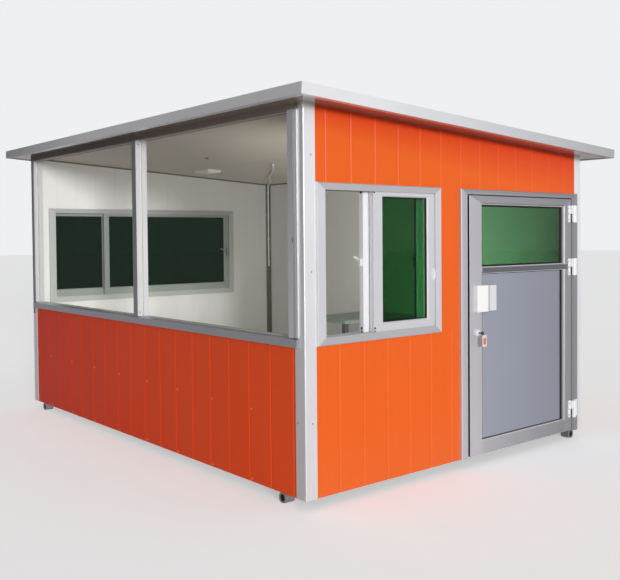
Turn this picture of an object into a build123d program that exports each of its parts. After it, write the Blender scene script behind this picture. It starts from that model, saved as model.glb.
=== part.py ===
from build123d import *
import math
import os

# Guard booth of sandwich panels with aluminium trims, in millimetres.
# X runs along the front wall, +Y to the back, +Z up; the origin is on the ground
# under the middle of the roof. The door is in the right wall, at +X.

# Booth shell
wall_width = 4340.0
wall_depth = 3000.0
wall_thickness = 50.0
front_height = 2450.0
roof_fall = 170.0
head_panel_height = 310.0
floor_thickness = 80.0

# Upright joint lines in the outer sheet of the wall panels
rib_width = 16.0
rib_depth = 4.0
front_rib_pitch = 238.5
front_rib_start = 172.0
side_rib_pitch = 215.0
side_rib_start = 178.0
lower_rib_start = 283.0

# Feet: short lengths of tube with end plugs
foot_height = 65.0
foot_tube_diameter = 72.0
foot_tube_bore = 50.0
foot_length = 75.0
foot_plug_recess = 4.0
front_foot_inset = 240.0
rear_foot_inset = 135.0

# Roof panels and the channel that trims their edges
roof_thickness = 65.0
side_overhang = 210.0
eave_overhang = 180.0
roof_trim_sheet = 3.0
roof_trim_flange = 45.0
roof_joint_gap = 4.0
roof_joint_depth = 6.0
roof_joint_offset = 60.0
roof_rib_pitch = 330.0
roof_rib_foot = 64.0
roof_rib_top = 26.0
roof_rib_height = 20.0
roof_rib_margin = 110.0

# Corner trims: folded angles
corner_width = 90.0
corner_sheet = 4.0
corner_radius = 8.0
inner_corner_leg = 45.0
inner_corner_sheet = 2.0

# Frames of windows and door stand proud of both faces of the wall
frame_proud = 25.0
glass_thickness = 6.0
glass_bite = 10.0

# Front window
front_sill_drop = 6.0
front_sill_height = 60.0
front_sill_fall = 8.0
front_head_height = 34.0
front_left_jamb_width = 40.0
front_right_jamb_width = 78.0
front_lip_width = 24.0
front_lip_step = 10.0
mullion_width = 70.0
mullion_offset = 45.0

# Sliding windows: shared profiles
window_head_face = 46.0
window_sill_face = 52.0
window_jamb_face = 64.0
track_fin = 30.0
track_wall = 6.0
sash_play = 3.0
sash_stile = 98.0
sash_top_rail = 58.0
window_edge_radius = 3.0
frame_edge_chamfer = 5.0
sash_bead = 7.0

# Window in the right wall
right_window_width = 1142.0
right_window_height = 1019.0
right_fixed_sash_width = 626.0
right_sliding_sash_width = 571.0
right_front_stile = 91.0
right_rear_stile = 104.0
right_meeting_stile = 58.0
right_bottom_rail = 88.0
right_sash_reveal = 48.0

# Window in the left wall
left_window_front_margin = 150.0
left_window_rear_margin = 595.0
left_window_height = 960.0
left_window_head_drop = 24.0
left_fixed_sash_width = 627.0
left_front_stile = 56.0
left_meeting_stile = 62.0
left_bottom_rail = 105.0

# Window latches: a body on the sliding stile and a lever, or a short catch at the meeting stile
latch_body_height = 90.0
latch_body_width = 36.0
latch_body_depth = 14.0
latch_lever_length = 105.0
latch_lever_diameter = 14.0
latch_lever_tilt = 22.0
catch_length = 40.0

# Door frame
window_door_pier = 214.0
door_rear_margin = 72.0
lock_jamb_face = 66.0
hinge_jamb_face = 86.0
door_head_face = 38.0
door_stop_reach = 22.0
door_stop_gap = 6.0
door_bead_width = 20.0
door_bead_groove = 5.0
door_bead_depth = 3.0
threshold_gap = 8.0

# Door leaf
leaf_thickness = 50.0
leaf_recess = 28.0
leaf_gap = 8.0
lock_gap = 24.0
leaf_floor_gap = 10.0
lock_stile = 144.0
hinge_stile = 98.0
leaf_top_rail = 60.0
leaf_bottom_rail = 98.0
leaf_mid_rail = 42.0
leaf_glass_height = 469.0
leaf_panel_thickness = 10.0
leaf_edge_radius = 3.0
leaf_bead = 8.0

# Door hinges
hinge_height = 138.0
hinge_leaf_plate = 54.0
hinge_frame_plate = 72.0
hinge_plate_thickness = 5.0
hinge_knuckle_radius = 16.0
hinge_face_gap = 6.0
hinge_knuckle_gap = 1.0
hinge_pin_radius = 6.0
hinge_pin_clearance = 0.05
bottom_hinge_rise = 180.0
top_hinge_drop = 121.0
hinge_spacing = 436.0

# Door handle and lock
handle_drop = 185.0
handle_inset = 42.0
handle_case_width = 125.0
handle_case_height = 196.0
handle_case_depth = 38.0
handle_grip_width = 110.0
handle_grip_height = 188.0
handle_grip_thickness = 16.0
handle_grip_step = 10.0
handle_grip_slot = 7.0
handle_edge_radius = 6.0
lock_drop = 250.0
lock_radius = 24.0
lock_depth = 16.0
lock_core_radius = 9.0
lock_core_depth = 6.0

# Ceiling lamp and conduit
lamp_width = 270.0
lamp_length = 160.0
lamp_depth = 26.0
lamp_edge_radius = 10.0
lamp_middle_x = -1480.0
lamp_middle_y = 160.0
conduit_radius = 10.0
conduit_seat_gap = 0.3
conduit_elbow_radius = 14.0
conduit_fall = 993.0
conduit_start_x = -360.0
conduit_start_y = 190.0
conduit_sway = 10.0
conduit_bend_radius = 200.0

# Desk inside
desk_width = 610.0
desk_depth = 940.0
desk_height = 760.0
desk_top_thickness = 32.0
desk_leg = 45.0
desk_leg_inset = 30.0
desk_right_edge = 310.0

# Overrun of every cut
cut_over = 5.0

# Derived planes and levels
half_width = wall_width / 2
half_depth = wall_depth / 2
room_x = half_width - wall_thickness
room_y = half_depth - wall_thickness
back_height = front_height - roof_fall
opening_head_level = back_height - head_panel_height
right_window_sill = opening_head_level - right_window_height
front_sill_level = right_window_sill - front_sill_drop
foot_top = foot_height
floor_top = foot_top + floor_thickness
frame_depth = wall_thickness + 2 * frame_proud
roof_angle = math.degrees(math.atan2(roof_fall, wall_depth))
middle_height = (front_height + back_height) / 2
roof_underside = Plane(
    origin=(0, 0, foot_top + middle_height),
    x_dir=(1, 0, 0),
    z_dir=(0, roof_fall, wall_depth),
)
roof_cosine = math.cos(math.radians(roof_angle))
roof_lift = roof_thickness / 2 / roof_cosine
roof_centre = Pos(0, 0, foot_top + middle_height + roof_lift) * Rot(X=-roof_angle)


def block(x0, x1, y0, y1, z0, z1):
    """Box between two opposite corners."""
    low = (Align.MIN, Align.MIN, Align.MIN)
    return Pos(x0, y0, z0) * Box(x1 - x0, y1 - y0, z1 - z0, align=low)


def below_roof(solid):
    """The part of a solid that lies under the sloping underside of the roof."""
    return split(solid, bisect_by=roof_underside, keep=Keep.BOTTOM)


def prism(plane, points, length):
    """Polygon drawn on a plane and extruded along the plane's normal."""
    return extrude(plane * make_face(Polyline(*points, close=True)), amount=length)


def edges_along(solid, axis, radius):
    """Round all straight edges of a solid that run along one axis."""
    return fillet(solid.edges().filter_by(axis), radius)


def save(name, *solids):
    """Write one named sub-part made of one or more separate solids."""
    shape = solids[0] if len(solids) == 1 else Compound(children=list(solids))
    export_step(shape, os.path.join("parts", name + ".step"))


def wall_face(origin, along):
    """Plane on a wall: x along the wall as seen from outside, y up, z outward."""
    outward = Vector(*along).cross(Vector(0, 0, 1))
    return Plane(origin=origin, x_dir=along, z_dir=tuple(outward))


# Floor and feet
def floor():
    """Floor slab between the walls."""
    return block(-room_x, room_x, -room_y, room_y, foot_top, floor_top)


def foot_tube(bore):
    """Tube length with a flat above and below, its axis along Z, standing at the origin."""
    tube = Cylinder(foot_tube_diameter / 2, foot_length)
    flats = Box(foot_height, foot_tube_diameter, foot_length)
    return (tube & flats) - Cylinder(bore / 2, foot_length + cut_over)


def foot_places():
    """Locations of the four feet: the front pair points forward, the rear pair sideways."""
    level = foot_height / 2
    front_x = half_width - front_foot_inset
    front_y = -half_depth + foot_length / 2
    rear_x = half_width - foot_length / 2
    rear_y = half_depth - rear_foot_inset
    upright_flats = Rot(Z=90)
    forward = Rot(X=90) * upright_flats
    sideways = Rot(Y=90)
    return [
        Pos(-front_x, front_y, level) * forward,
        Pos(front_x, front_y, level) * forward,
        Pos(-rear_x, rear_y, level) * sideways,
        Pos(rear_x, rear_y, level) * sideways,
    ]


def foot_plug():
    """Plug that closes the bore of a foot, set back from both ends."""
    return Cylinder(foot_tube_bore / 2, foot_length - 2 * foot_plug_recess)


# Walls
def ribbed(solid, face, length, start, pitch):
    """Cut upright joint lines into a wall; the face plane has x along the wall and z outward."""
    notch = [(-rib_width / 2, 0), (rib_width / 2, 0), (0, -rib_depth)]
    count = math.floor((length - start) / pitch) + 1
    for step in range(count):
        upright = face * Pos(start + step * pitch, 0, 0) * Rot(X=-90)
        line = make_face(Polyline(*[(x, -y) for x, y in notch], close=True))
        solid = solid - upright * extrude(line, amount=front_height)
    return solid


def side_face(side):
    """Outer face of the right (1) or left (-1) wall, from the end that is left when seen from outside."""
    return wall_face((side * half_width, -side * half_depth, foot_top), (0, side, 0)).location


def end_face(end):
    """Outer face of the back (1) or front (-1) wall, from the end that is left when seen from outside."""
    return wall_face((end * half_width, end * half_depth, foot_top), (-end, 0, 0)).location


def side_wall_top(side, head_level):
    """Part of a side wall over its openings, cut by the slope of the roof."""
    x0 = min(side * room_x, side * half_width)
    x1 = x0 + wall_thickness
    tall = block(x0, x1, -half_depth, half_depth, foot_top + head_level, foot_top + front_height)
    return ribbed(below_roof(tall), side_face(side), wall_depth, side_rib_start, side_rib_pitch)


def front_wall():
    """Panel under the front window."""
    panel = block(-room_x, room_x, -half_depth, -room_y, foot_top, foot_top + front_sill_level)
    return ribbed(panel, end_face(-1), wall_width, front_rib_start, front_rib_pitch)


def back_wall():
    """Plain panel at the back."""
    panel = below_roof(block(-room_x, room_x, room_y, half_depth, foot_top, foot_top + front_height))
    return ribbed(panel, end_face(1), wall_width, front_rib_start, front_rib_pitch)


# Places of the openings along the side walls
right_window_front = -half_depth + corner_width
right_window_rear = right_window_front + right_window_width
door_rear = half_depth - door_rear_margin
door_front = right_window_rear + window_door_pier
left_window_rear = half_depth - left_window_rear_margin
left_window_front = -half_depth + left_window_front_margin
left_window_width = left_window_rear - left_window_front
left_window_head_level = opening_head_level - left_window_head_drop
left_window_sill = left_window_head_level - left_window_height


def right_wall_lower():
    """Panel under the right window, from the front corner to the door frame."""
    top = foot_top + right_window_sill
    panel = block(room_x, half_width, -half_depth, door_front, foot_top, top)
    return ribbed(panel, side_face(1), door_front + half_depth, lower_rib_start, side_rib_pitch)


def right_wall_piers():
    """Strips of wall before the window, between window and door, and behind the door."""
    low = foot_top + right_window_sill
    high = foot_top + opening_head_level
    piers = [
        block(room_x, half_width, -half_depth, right_window_front, low, high),
        block(room_x, half_width, right_window_rear, door_front, low, high),
        block(room_x, half_width, door_rear, half_depth, foot_top, high),
    ]
    return [ribbed(pier, side_face(1), wall_depth, side_rib_start, side_rib_pitch) for pier in piers]


def left_wall_lower():
    """Panel under the left window."""
    top = foot_top + left_window_sill
    panel = block(-half_width, -room_x, -half_depth, half_depth, foot_top, top)
    return ribbed(panel, side_face(-1), wall_depth, lower_rib_start, side_rib_pitch)


def left_wall_piers():
    """Strips of wall before and behind the left window."""
    low = foot_top + left_window_sill
    high = foot_top + left_window_head_level
    piers = [
        block(-half_width, -room_x, -half_depth, left_window_front, low, high),
        block(-half_width, -room_x, left_window_rear, half_depth, low, high),
    ]
    return [ribbed(pier, side_face(-1), wall_depth, side_rib_start, side_rib_pitch) for pier in piers]


# Corner trims
def corner_trim(side, end):
    """Folded angle around one corner, drawn at the back right; a leg is cut back where a frame stands."""
    outer = Rectangle(corner_width + corner_sheet, corner_width + corner_sheet, align=(Align.MAX, Align.MAX))
    inner = Rectangle(corner_width, corner_width, align=(Align.MAX, Align.MAX))
    angle = Pos(corner_sheet, corner_sheet) * outer - inner
    bend = angle.vertices().sort_by(lambda v: v.X + v.Y)[-1]
    angle = fillet(bend, corner_radius)
    trim = extrude(angle, amount=front_height)
    if end < 0:
        beside_window = block(-corner_width - cut_over, -wall_thickness, -cut_over, corner_sheet + cut_over,
                              front_sill_level, front_height + cut_over)
        trim = trim - beside_window
    elif side > 0:
        beside_door = block(-cut_over, corner_sheet + cut_over, -corner_width - cut_over, -door_rear_margin,
                            -cut_over, opening_head_level)
        trim = trim - beside_door
    if side < 0:
        trim = mirror(trim, Plane.YZ)
    if end < 0:
        trim = mirror(trim, Plane.XZ)
    return below_roof(Pos(side * half_width, end * half_depth, foot_top) * trim)


def inner_corner_trim(side):
    """Light angle in a rear corner of the room, from the floor to the ceiling."""
    leg = inner_corner_leg
    outer = block(-leg, 0, -leg, 0, floor_top, foot_top + front_height)
    hollow = block(-leg - cut_over, -inner_corner_sheet, -leg - cut_over, -inner_corner_sheet,
                   floor_top - cut_over, foot_top + front_height + cut_over)
    angle = outer - hollow
    if side < 0:
        angle = mirror(angle, Plane.YZ)
    return below_roof(Pos(side * room_x, room_y, 0) * angle)


# Front window
front_outer_y = -half_depth - frame_proud
front_inner_y = front_outer_y + frame_depth
front_jamb_widths = {-1: front_left_jamb_width, 1: front_right_jamb_width}
front_sill_top = foot_top + front_sill_level + front_sill_height
front_head_low = foot_top + front_height - front_head_height
front_glass_y = -half_depth + wall_thickness / 2


def front_panes():
    """Two fixed panes, let into the frame on all sides."""
    panes = []
    for side in (-1, 1):
        near = mullion_offset + side * (mullion_width / 2 - glass_bite)
        far = side * (room_x - front_jamb_widths[side] + glass_bite)
        panes.append(block(min(near, far), max(near, far),
                           front_glass_y - glass_thickness / 2, front_glass_y + glass_thickness / 2,
                           front_sill_top - glass_bite, front_head_low + glass_bite))
    return panes


def glazed(solid):
    """Cut the grooves that hold the front panes."""
    for pane in front_panes():
        solid = solid - pane
    return solid


def front_sill():
    """Sill with a top that falls outward in front of the glass."""
    low = foot_top + front_sill_level
    nose = front_sill_top - front_sill_fall
    side_view = Plane(origin=(-room_x, 0, 0), x_dir=(0, 1, 0), z_dir=(1, 0, 0))
    outline = [
        (front_outer_y, low),
        (front_outer_y, nose),
        (front_glass_y - glass_thickness, front_sill_top),
        (front_inner_y, front_sill_top),
        (front_inner_y, low),
    ]
    return glazed(prism(side_view, outline, 2 * room_x))


def front_head():
    """Head under the roof, cut by its slope."""
    high = foot_top + front_height + frame_proud
    bar = block(-room_x, room_x, front_outer_y, front_inner_y, front_head_low, high)
    return glazed(below_roof(bar))


def front_jamb(side):
    """Jamb with a lip along its outer edge that stands back from the main face."""
    plan = Plane(origin=(0, 0, front_sill_top), x_dir=(1, 0, 0), z_dir=(0, 0, 1))
    clear_x = room_x - front_jamb_widths[side]
    outline = [
        (clear_x, front_inner_y),
        (room_x, front_inner_y),
        (room_x, front_outer_y + front_lip_step),
        (room_x - front_lip_width, front_outer_y + front_lip_step),
        (room_x - front_lip_width, front_outer_y),
        (clear_x, front_outer_y),
    ]
    jamb = prism(plan, outline, front_head_low - front_sill_top)
    if side < 0:
        jamb = mirror(jamb, Plane.YZ)
    return glazed(jamb)


def front_mullion():
    """Post between the two front panes."""
    left = mullion_offset - mullion_width / 2
    bar = block(left, left + mullion_width, front_outer_y, front_inner_y, front_sill_top, front_head_low)
    return glazed(edges_along(bar, Axis.Z, window_edge_radius))


# Sliding windows, drawn with x along the wall, y up and z outward from the wall's middle
channel = (frame_depth - 3 * track_wall) / 2
sash_thickness = channel - 2 * sash_play
track_middle = (channel + track_wall) / 2


def window_frame(width, height):
    """Frame with two tracks: fins on the face, between the tracks and inside."""
    outer = block(0, width, 0, height, -frame_depth / 2, frame_depth / 2)
    outer = chamfer(outer.faces().sort_by(Axis.Z)[-1].edges(), frame_edge_chamfer)
    ring = outer - block(window_jamb_face, width - window_jamb_face, window_sill_face,
                         height - window_head_face, -frame_depth, frame_depth)
    for side in (-1, 1):
        middle = side * track_middle
        ring = ring - block(window_jamb_face - track_fin, width - window_jamb_face + track_fin,
                            window_sill_face - track_fin, height - window_head_face + track_fin,
                            middle - channel / 2, middle + channel / 2)
    return ring


def mitred_bars(ring, width, height):
    """Head, sill and the two jambs of a frame, parted along its mitres."""
    deep = Plane(origin=(0, 0, -frame_depth / 2), x_dir=(1, 0, 0), z_dir=(0, 0, 1))
    left = window_jamb_face
    right = width - window_jamb_face
    low = window_sill_face
    high = height - window_head_face
    outlines = [
        [(0, height), (left, high), (right, high), (width, height)],
        [(0, 0), (width, 0), (right, low), (left, low)],
        [(0, 0), (left, low), (left, high), (0, height)],
        [(width, 0), (width, height), (right, high), (right, low)],
    ]
    return [ring & prism(deep, outline, frame_depth) for outline in outlines]


def sash(start, sash_width, height, track, left_stile, right_stile, bottom_rail):
    """Sash in one track (-1 inside, 1 outside) and its pane, with sloping beads around the glass."""
    low = window_sill_face - track_fin
    high = height - window_head_face + track_fin - sash_play
    middle = track * track_middle
    back = middle - sash_thickness / 2
    front = middle + sash_thickness / 2
    body = block(start, start + sash_width, low, high, back, front)
    glass_left = start + left_stile
    glass_right = start + sash_width - right_stile
    glass_low = low + bottom_rail
    glass_high = high - sash_top_rail
    opening = block(glass_left, glass_right, glass_low, glass_high, back - cut_over, front + cut_over)
    pane = block(glass_left - glass_bite, glass_right + glass_bite, glass_low - glass_bite,
                 glass_high + glass_bite, middle - glass_thickness / 2, middle + glass_thickness / 2)
    body = body - opening
    for face in (0, -1):
        rim = body.faces().sort_by(Axis.Z)[face].inner_wires()[0].edges()
        body = chamfer(rim, sash_bead)
    return body - pane, pane


def latch(stile_edge, stile_width, level, lever_side, lever_length, tilt):
    """Latch on the room side of a sash stile; its lever points along the wall to one side, tilted up."""
    face = -track_middle - sash_thickness / 2
    low = level - latch_body_height / 2
    middle = stile_edge + stile_width / 2
    body = block(middle - latch_body_width / 2, middle + latch_body_width / 2,
                 low, low + latch_body_height, face - latch_body_depth, face)
    body = fillet(body.edges().filter_by(Axis.Z), window_edge_radius)
    upright = (Align.CENTER, Align.CENTER, Align.MIN)
    lever = Cylinder(latch_lever_diameter / 2, lever_length, align=upright)
    lever_z = face - latch_body_depth / 2
    turn = Rot(Z=lever_side * tilt) * Rot(Y=lever_side * 90)
    return body + Pos(middle, level, lever_z) * turn * lever


# Door, its frame and its hinges
door_face_x = half_width + frame_proud
door_inner_x = room_x
leaf_back_x = door_face_x - leaf_thickness
jamb_front = door_front + lock_jamb_face
jamb_rear = door_rear - hinge_jamb_face
leaf_front = jamb_front + lock_gap
leaf_rear = jamb_rear - leaf_gap
fill_front = leaf_front + lock_stile
fill_rear = leaf_rear - hinge_stile
stop_overlap = door_stop_reach - leaf_gap
passage_front = leaf_front + stop_overlap
passage_rear = leaf_rear - stop_overlap
passage_high = foot_top + opening_head_level - door_head_face - door_stop_reach
leaf_low = foot_top + leaf_floor_gap
leaf_high = foot_top + opening_head_level - door_head_face - leaf_gap
hinge_x = door_face_x + hinge_face_gap + hinge_knuckle_radius
hinge_y = leaf_rear + leaf_gap / 2
top_hinge_level = leaf_high - top_hinge_drop
hinge_levels = (leaf_low + bottom_hinge_rise, top_hinge_level - hinge_spacing, top_hinge_level)
mid_rail_low = leaf_high - leaf_top_rail - leaf_glass_height - leaf_mid_rail
handle_level = mid_rail_low - handle_drop
lock_level = handle_level - lock_drop


def door_frame():
    """Jambs and head in one, with a stop behind the leaf and a bead along the inner edge of the face."""
    top = foot_top + opening_head_level
    stop_x = leaf_back_x - door_stop_gap
    below = foot_top - cut_over
    frame = block(door_inner_x, door_face_x, door_front, door_rear, foot_top, top)
    face_edges = frame.faces().sort_by(Axis.X)[-1].edges().sort_by(Axis.Z)[1:]
    frame = chamfer(face_edges, frame_edge_chamfer)
    passage = block(door_inner_x - cut_over, door_face_x, passage_front, passage_rear, below, passage_high)
    rebate = block(stop_x, door_face_x + cut_over, jamb_front, jamb_rear, below, top - door_head_face)
    bead_top = top - door_head_face + door_bead_width
    bead = block(door_inner_x, door_face_x, jamb_front - door_bead_width, jamb_rear + door_bead_width,
                 below, bead_top)
    groove_reach = door_bead_width + door_bead_groove
    groove = block(door_face_x - door_bead_depth, door_face_x + cut_over, jamb_front - groove_reach,
                   jamb_rear + groove_reach, below, bead_top + door_bead_groove)
    return frame - passage - rebate - (groove - bead)


def door_head_part():
    """Space of the door frame's head, between the mitres."""
    top = foot_top + opening_head_level
    side_view = Plane(origin=(door_inner_x, 0, 0), x_dir=(0, 1, 0), z_dir=(1, 0, 0))
    face = top - door_head_face
    outline = [
        (door_front, top),
        (jamb_front, face),
        (passage_front, passage_high),
        (passage_rear, passage_high),
        (jamb_rear, face),
        (door_rear, top),
    ]
    return prism(side_view, outline, door_face_x - door_inner_x)


def door_threshold():
    """Strip that closes the edge of the floor in the doorway."""
    return block(room_x, leaf_back_x - threshold_gap, passage_front, passage_rear, foot_top, floor_top)


def leaf_fill(low, high, thickness):
    """Sheet let into the leaf between two levels, set back from its face."""
    outer = door_face_x - leaf_recess
    return block(outer - thickness, outer, fill_front - glass_bite, fill_rear + glass_bite,
                 low - glass_bite, high + glass_bite)


def door_glass():
    """Pane in the upper part of the leaf."""
    return leaf_fill(mid_rail_low + leaf_mid_rail, leaf_high - leaf_top_rail, glass_thickness)


def door_panel():
    """Panel in the lower part of the leaf."""
    return leaf_fill(leaf_low + leaf_bottom_rail, mid_rail_low, leaf_panel_thickness)


def leaf_frame():
    """Stiles and rails of the leaf in one, with sloping beads, grooved for glass and panel."""
    leaf = block(leaf_back_x, door_face_x, leaf_front, leaf_rear, leaf_low, leaf_high)
    leaf = edges_along(leaf, Axis.Z, leaf_edge_radius)
    back = leaf_back_x - cut_over
    face = door_face_x + cut_over
    leaf = leaf - block(back, face, fill_front, fill_rear, leaf_low + leaf_bottom_rail, mid_rail_low)
    leaf = leaf - block(back, face, fill_front, fill_rear,
                        mid_rail_low + leaf_mid_rail, leaf_high - leaf_top_rail)
    for side in (0, -1):
        rims = leaf.faces().sort_by(Axis.X)[side].inner_wires()
        leaf = chamfer([edge for rim in rims for edge in rim.edges()], leaf_bead)
    return leaf - door_glass() - door_panel()


def rail_parts():
    """Spaces of the leaf's rails: the top one between mitres, the others butting on the stiles."""
    side_view = Plane(origin=(leaf_back_x, 0, 0), x_dir=(0, 1, 0), z_dir=(1, 0, 0))
    top_low = leaf_high - leaf_top_rail
    top_outline = [
        (leaf_front, leaf_high),
        (fill_front, top_low),
        (fill_rear, top_low),
        (leaf_rear, leaf_high),
    ]
    top = prism(side_view, top_outline, leaf_thickness)
    mid_rail_high = mid_rail_low + leaf_mid_rail
    middle = block(leaf_back_x, door_face_x, fill_front, fill_rear, mid_rail_low, mid_rail_high)
    bottom = block(leaf_back_x, door_face_x, fill_front, fill_rear, leaf_low, leaf_low + leaf_bottom_rail)
    return [top, middle, bottom]


def hinge_half(level, side):
    """Plate, web and knuckle of one hinge; side is 1 on the frame and -1 on the leaf."""
    low = level - hinge_height / 2
    middle = low + hinge_height / 2
    near = hinge_knuckle_radius + hinge_face_gap
    far = side * (hinge_frame_plate if side > 0 else hinge_leaf_plate)
    plate = block(door_face_x, door_face_x + hinge_plate_thickness,
                  min(side * near, far), max(side * near, far), low, low + hinge_height)
    web_low = low if side > 0 else middle + hinge_knuckle_gap
    web_high = middle - hinge_knuckle_gap if side > 0 else low + hinge_height
    web = block(hinge_x - hinge_plate_thickness, hinge_x, min(0, side * near), max(0, side * near),
                web_low, web_high)
    riser = block(door_face_x, hinge_x, min(side * near, side * (near + hinge_plate_thickness)),
                  max(side * near, side * (near + hinge_plate_thickness)), web_low, web_high)
    upright = (Align.CENTER, Align.CENTER, Align.MIN)
    knuckle = Pos(hinge_x, 0, web_low) * Cylinder(hinge_knuckle_radius, web_high - web_low, align=upright)
    half = plate + web + riser + knuckle
    if side > 0:
        pin = Cylinder(hinge_pin_radius, hinge_height, align=upright)
        half = half + Pos(hinge_x, 0, low) * pin
    else:
        bore = Cylinder(hinge_pin_radius + hinge_pin_clearance, hinge_height + cut_over, align=upright)
        half = half - Pos(hinge_x, 0, middle - cut_over) * bore
    return Pos(0, hinge_y, 0) * half


def handle_case():
    """Body of the pull handle on the lock stile."""
    low = handle_level - handle_case_height / 2
    start = leaf_front + handle_inset
    case = block(door_face_x, door_face_x + handle_case_depth, start, start + handle_case_width,
                 low, low + handle_case_height)
    outer = case.faces().sort_by(Axis.X)[-1]
    return fillet(outer.edges(), handle_edge_radius)


def handle_grip():
    """Grip that reaches from the handle's body over the panel, clear of it for the fingers."""
    low = handle_level - handle_grip_height / 2
    start = leaf_front + handle_inset + handle_case_width
    outer = door_face_x + handle_case_depth - handle_grip_step
    inner = outer - handle_grip_thickness
    grip = block(inner, outer, start + handle_grip_slot, start + handle_grip_width,
                 low, low + handle_grip_height)
    rim = grip.faces().sort_by(Axis.Y)[-1]
    neck = block(inner, outer - handle_grip_thickness / 2, start, start + 2 * handle_grip_slot,
                 low, low + handle_grip_height)
    return fillet(rim.edges(), handle_edge_radius) + neck


def door_lock():
    """Lock cylinder with its core, on the lock stile."""
    centre = Pos(door_face_x, leaf_front + lock_stile / 2, lock_level) * Rot(Y=90)
    upright = (Align.CENTER, Align.CENTER, Align.MIN)
    rose = Cylinder(lock_radius, lock_depth, align=upright)
    core = Cylinder(lock_core_radius, lock_depth + lock_core_depth, align=upright)
    return centre * (rose + core)


# Roof
def roof_panel(y0, y1, rib_y0, rib_y1):
    """One roof panel, drawn level, with raised ribs on its top that run down the slope."""
    reach = half_width + side_overhang
    half_panel = reach - roof_trim_sheet
    panel = block(-half_panel, half_panel, y0, y1, -roof_thickness / 2, roof_thickness / 2)
    half_foot = roof_rib_foot / 2
    half_top = roof_rib_top / 2
    outline = [(-half_foot, 0), (half_foot, 0), (half_top, roof_rib_height), (-half_top, roof_rib_height)]
    end_view = Plane(origin=(0, rib_y1, roof_thickness / 2), x_dir=(1, 0, 0), z_dir=(0, -1, 0))
    rib = prism(end_view, outline, rib_y1 - rib_y0)
    steps = math.floor((reach - roof_rib_margin) / roof_rib_pitch)
    for step in range(-steps, steps + 1):
        panel = panel + Pos(step * roof_rib_pitch, 0, 0) * rib
    return panel


roof_half_depth = (half_depth + eave_overhang) / roof_cosine


def roof_panels():
    """Front and back roof panel, meeting along a line over the middle of the room."""
    edge = roof_half_depth - roof_trim_sheet
    rib_end = roof_half_depth - roof_rib_margin
    front = roof_panel(-edge, roof_joint_offset, -rib_end, roof_joint_offset)
    back = roof_panel(roof_joint_offset, edge, roof_joint_offset, rib_end)
    groove = block(-wall_width, wall_width, roof_joint_offset - roof_joint_gap / 2,
                   roof_joint_offset + roof_joint_gap / 2,
                   -roof_thickness / 2 - cut_over, -roof_thickness / 2 + roof_joint_depth)
    return [roof_centre * (front - groove), roof_centre * (back - groove)]


def roof_trim():
    """Channel around the edges of the roof panels, mitred at the corners."""
    half_x = half_width + side_overhang
    trim_height = roof_thickness + 2 * roof_trim_sheet
    web = Box(2 * half_x, 2 * roof_half_depth, trim_height)
    inside = Box(2 * (half_x - roof_trim_sheet), 2 * (roof_half_depth - roof_trim_sheet), roof_thickness)
    clear_x = half_x - roof_trim_flange
    clear_y = roof_half_depth - roof_trim_flange
    opening = Box(2 * clear_x, 2 * clear_y, trim_height + cut_over)
    return roof_centre * (web - inside - opening)


# Fittings under the roof
def ceiling_point(x, y, drop):
    """Point a given distance under the ceiling."""
    return (x, y, foot_top + middle_height - roof_fall * y / wall_depth - drop)


def ceiling_lamp():
    """Flat lamp with a rounded lower rim, seated on the ceiling."""
    body = Box(lamp_width, lamp_length, lamp_depth)
    lower = body.faces().sort_by(Axis.Z)[0]
    body = fillet(lower.edges(), lamp_edge_radius)
    seat = ceiling_point(lamp_middle_x, lamp_middle_y, 0)
    return Pos(*seat) * Rot(X=-roof_angle) * Pos(0, 0, -lamp_depth / 2) * body


def conduit():
    """Conduit that winds along the ceiling to an elbow in the rear left corner and drops down it."""
    reach = conduit_elbow_radius + conduit_seat_gap
    corner_x = -room_x + inner_corner_sheet + reach
    corner_y = (room_y - inner_corner_sheet - reach) / roof_cosine
    sway_shares = (0, 1, -1, 1, 0)
    points = []
    last = len(sway_shares) - 1
    for step, sway_share in enumerate(sway_shares):
        share = step / last
        x = conduit_start_x + (corner_x - conduit_start_x) * share + sway_share * conduit_sway
        y = conduit_start_y + (corner_y - conduit_start_y) * share + sway_share * conduit_sway
        points.append((x, y))
    ceiling = roof_underside.offset(-reach)
    run = ceiling * FilletPolyline(*points, radius=conduit_bend_radius)
    end = run @ 1
    start_plane = Plane(origin=run @ 0, z_dir=run % 0)
    ceiling_run = sweep(start_plane * Circle(conduit_radius), path=run)
    upright = (Align.CENTER, Align.CENTER, Align.MAX)
    wall_run = Cylinder(conduit_radius, conduit_fall, align=upright)
    return ceiling_run + Pos(*end) * (Sphere(conduit_elbow_radius) + wall_run)


# Desk
desk_left_edge = desk_right_edge - desk_width
desk_front_edge = room_y - desk_depth
desk_high = floor_top + desk_height


def desk_top():
    """Top of the desk, against the back wall."""
    low = desk_high - desk_top_thickness
    return block(desk_left_edge, desk_right_edge, desk_front_edge, room_y, low, desk_high)


def desk_legs():
    """Four square legs under the top."""
    legs = []
    for x in (desk_left_edge + desk_leg_inset, desk_right_edge - desk_leg_inset - desk_leg):
        for y in (desk_front_edge + desk_leg_inset, room_y - desk_leg_inset - desk_leg):
            legs.append(block(x, x + desk_leg, y, y + desk_leg, floor_top, desk_high - desk_top_thickness))
    return legs


os.makedirs("parts", exist_ok=True)

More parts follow.
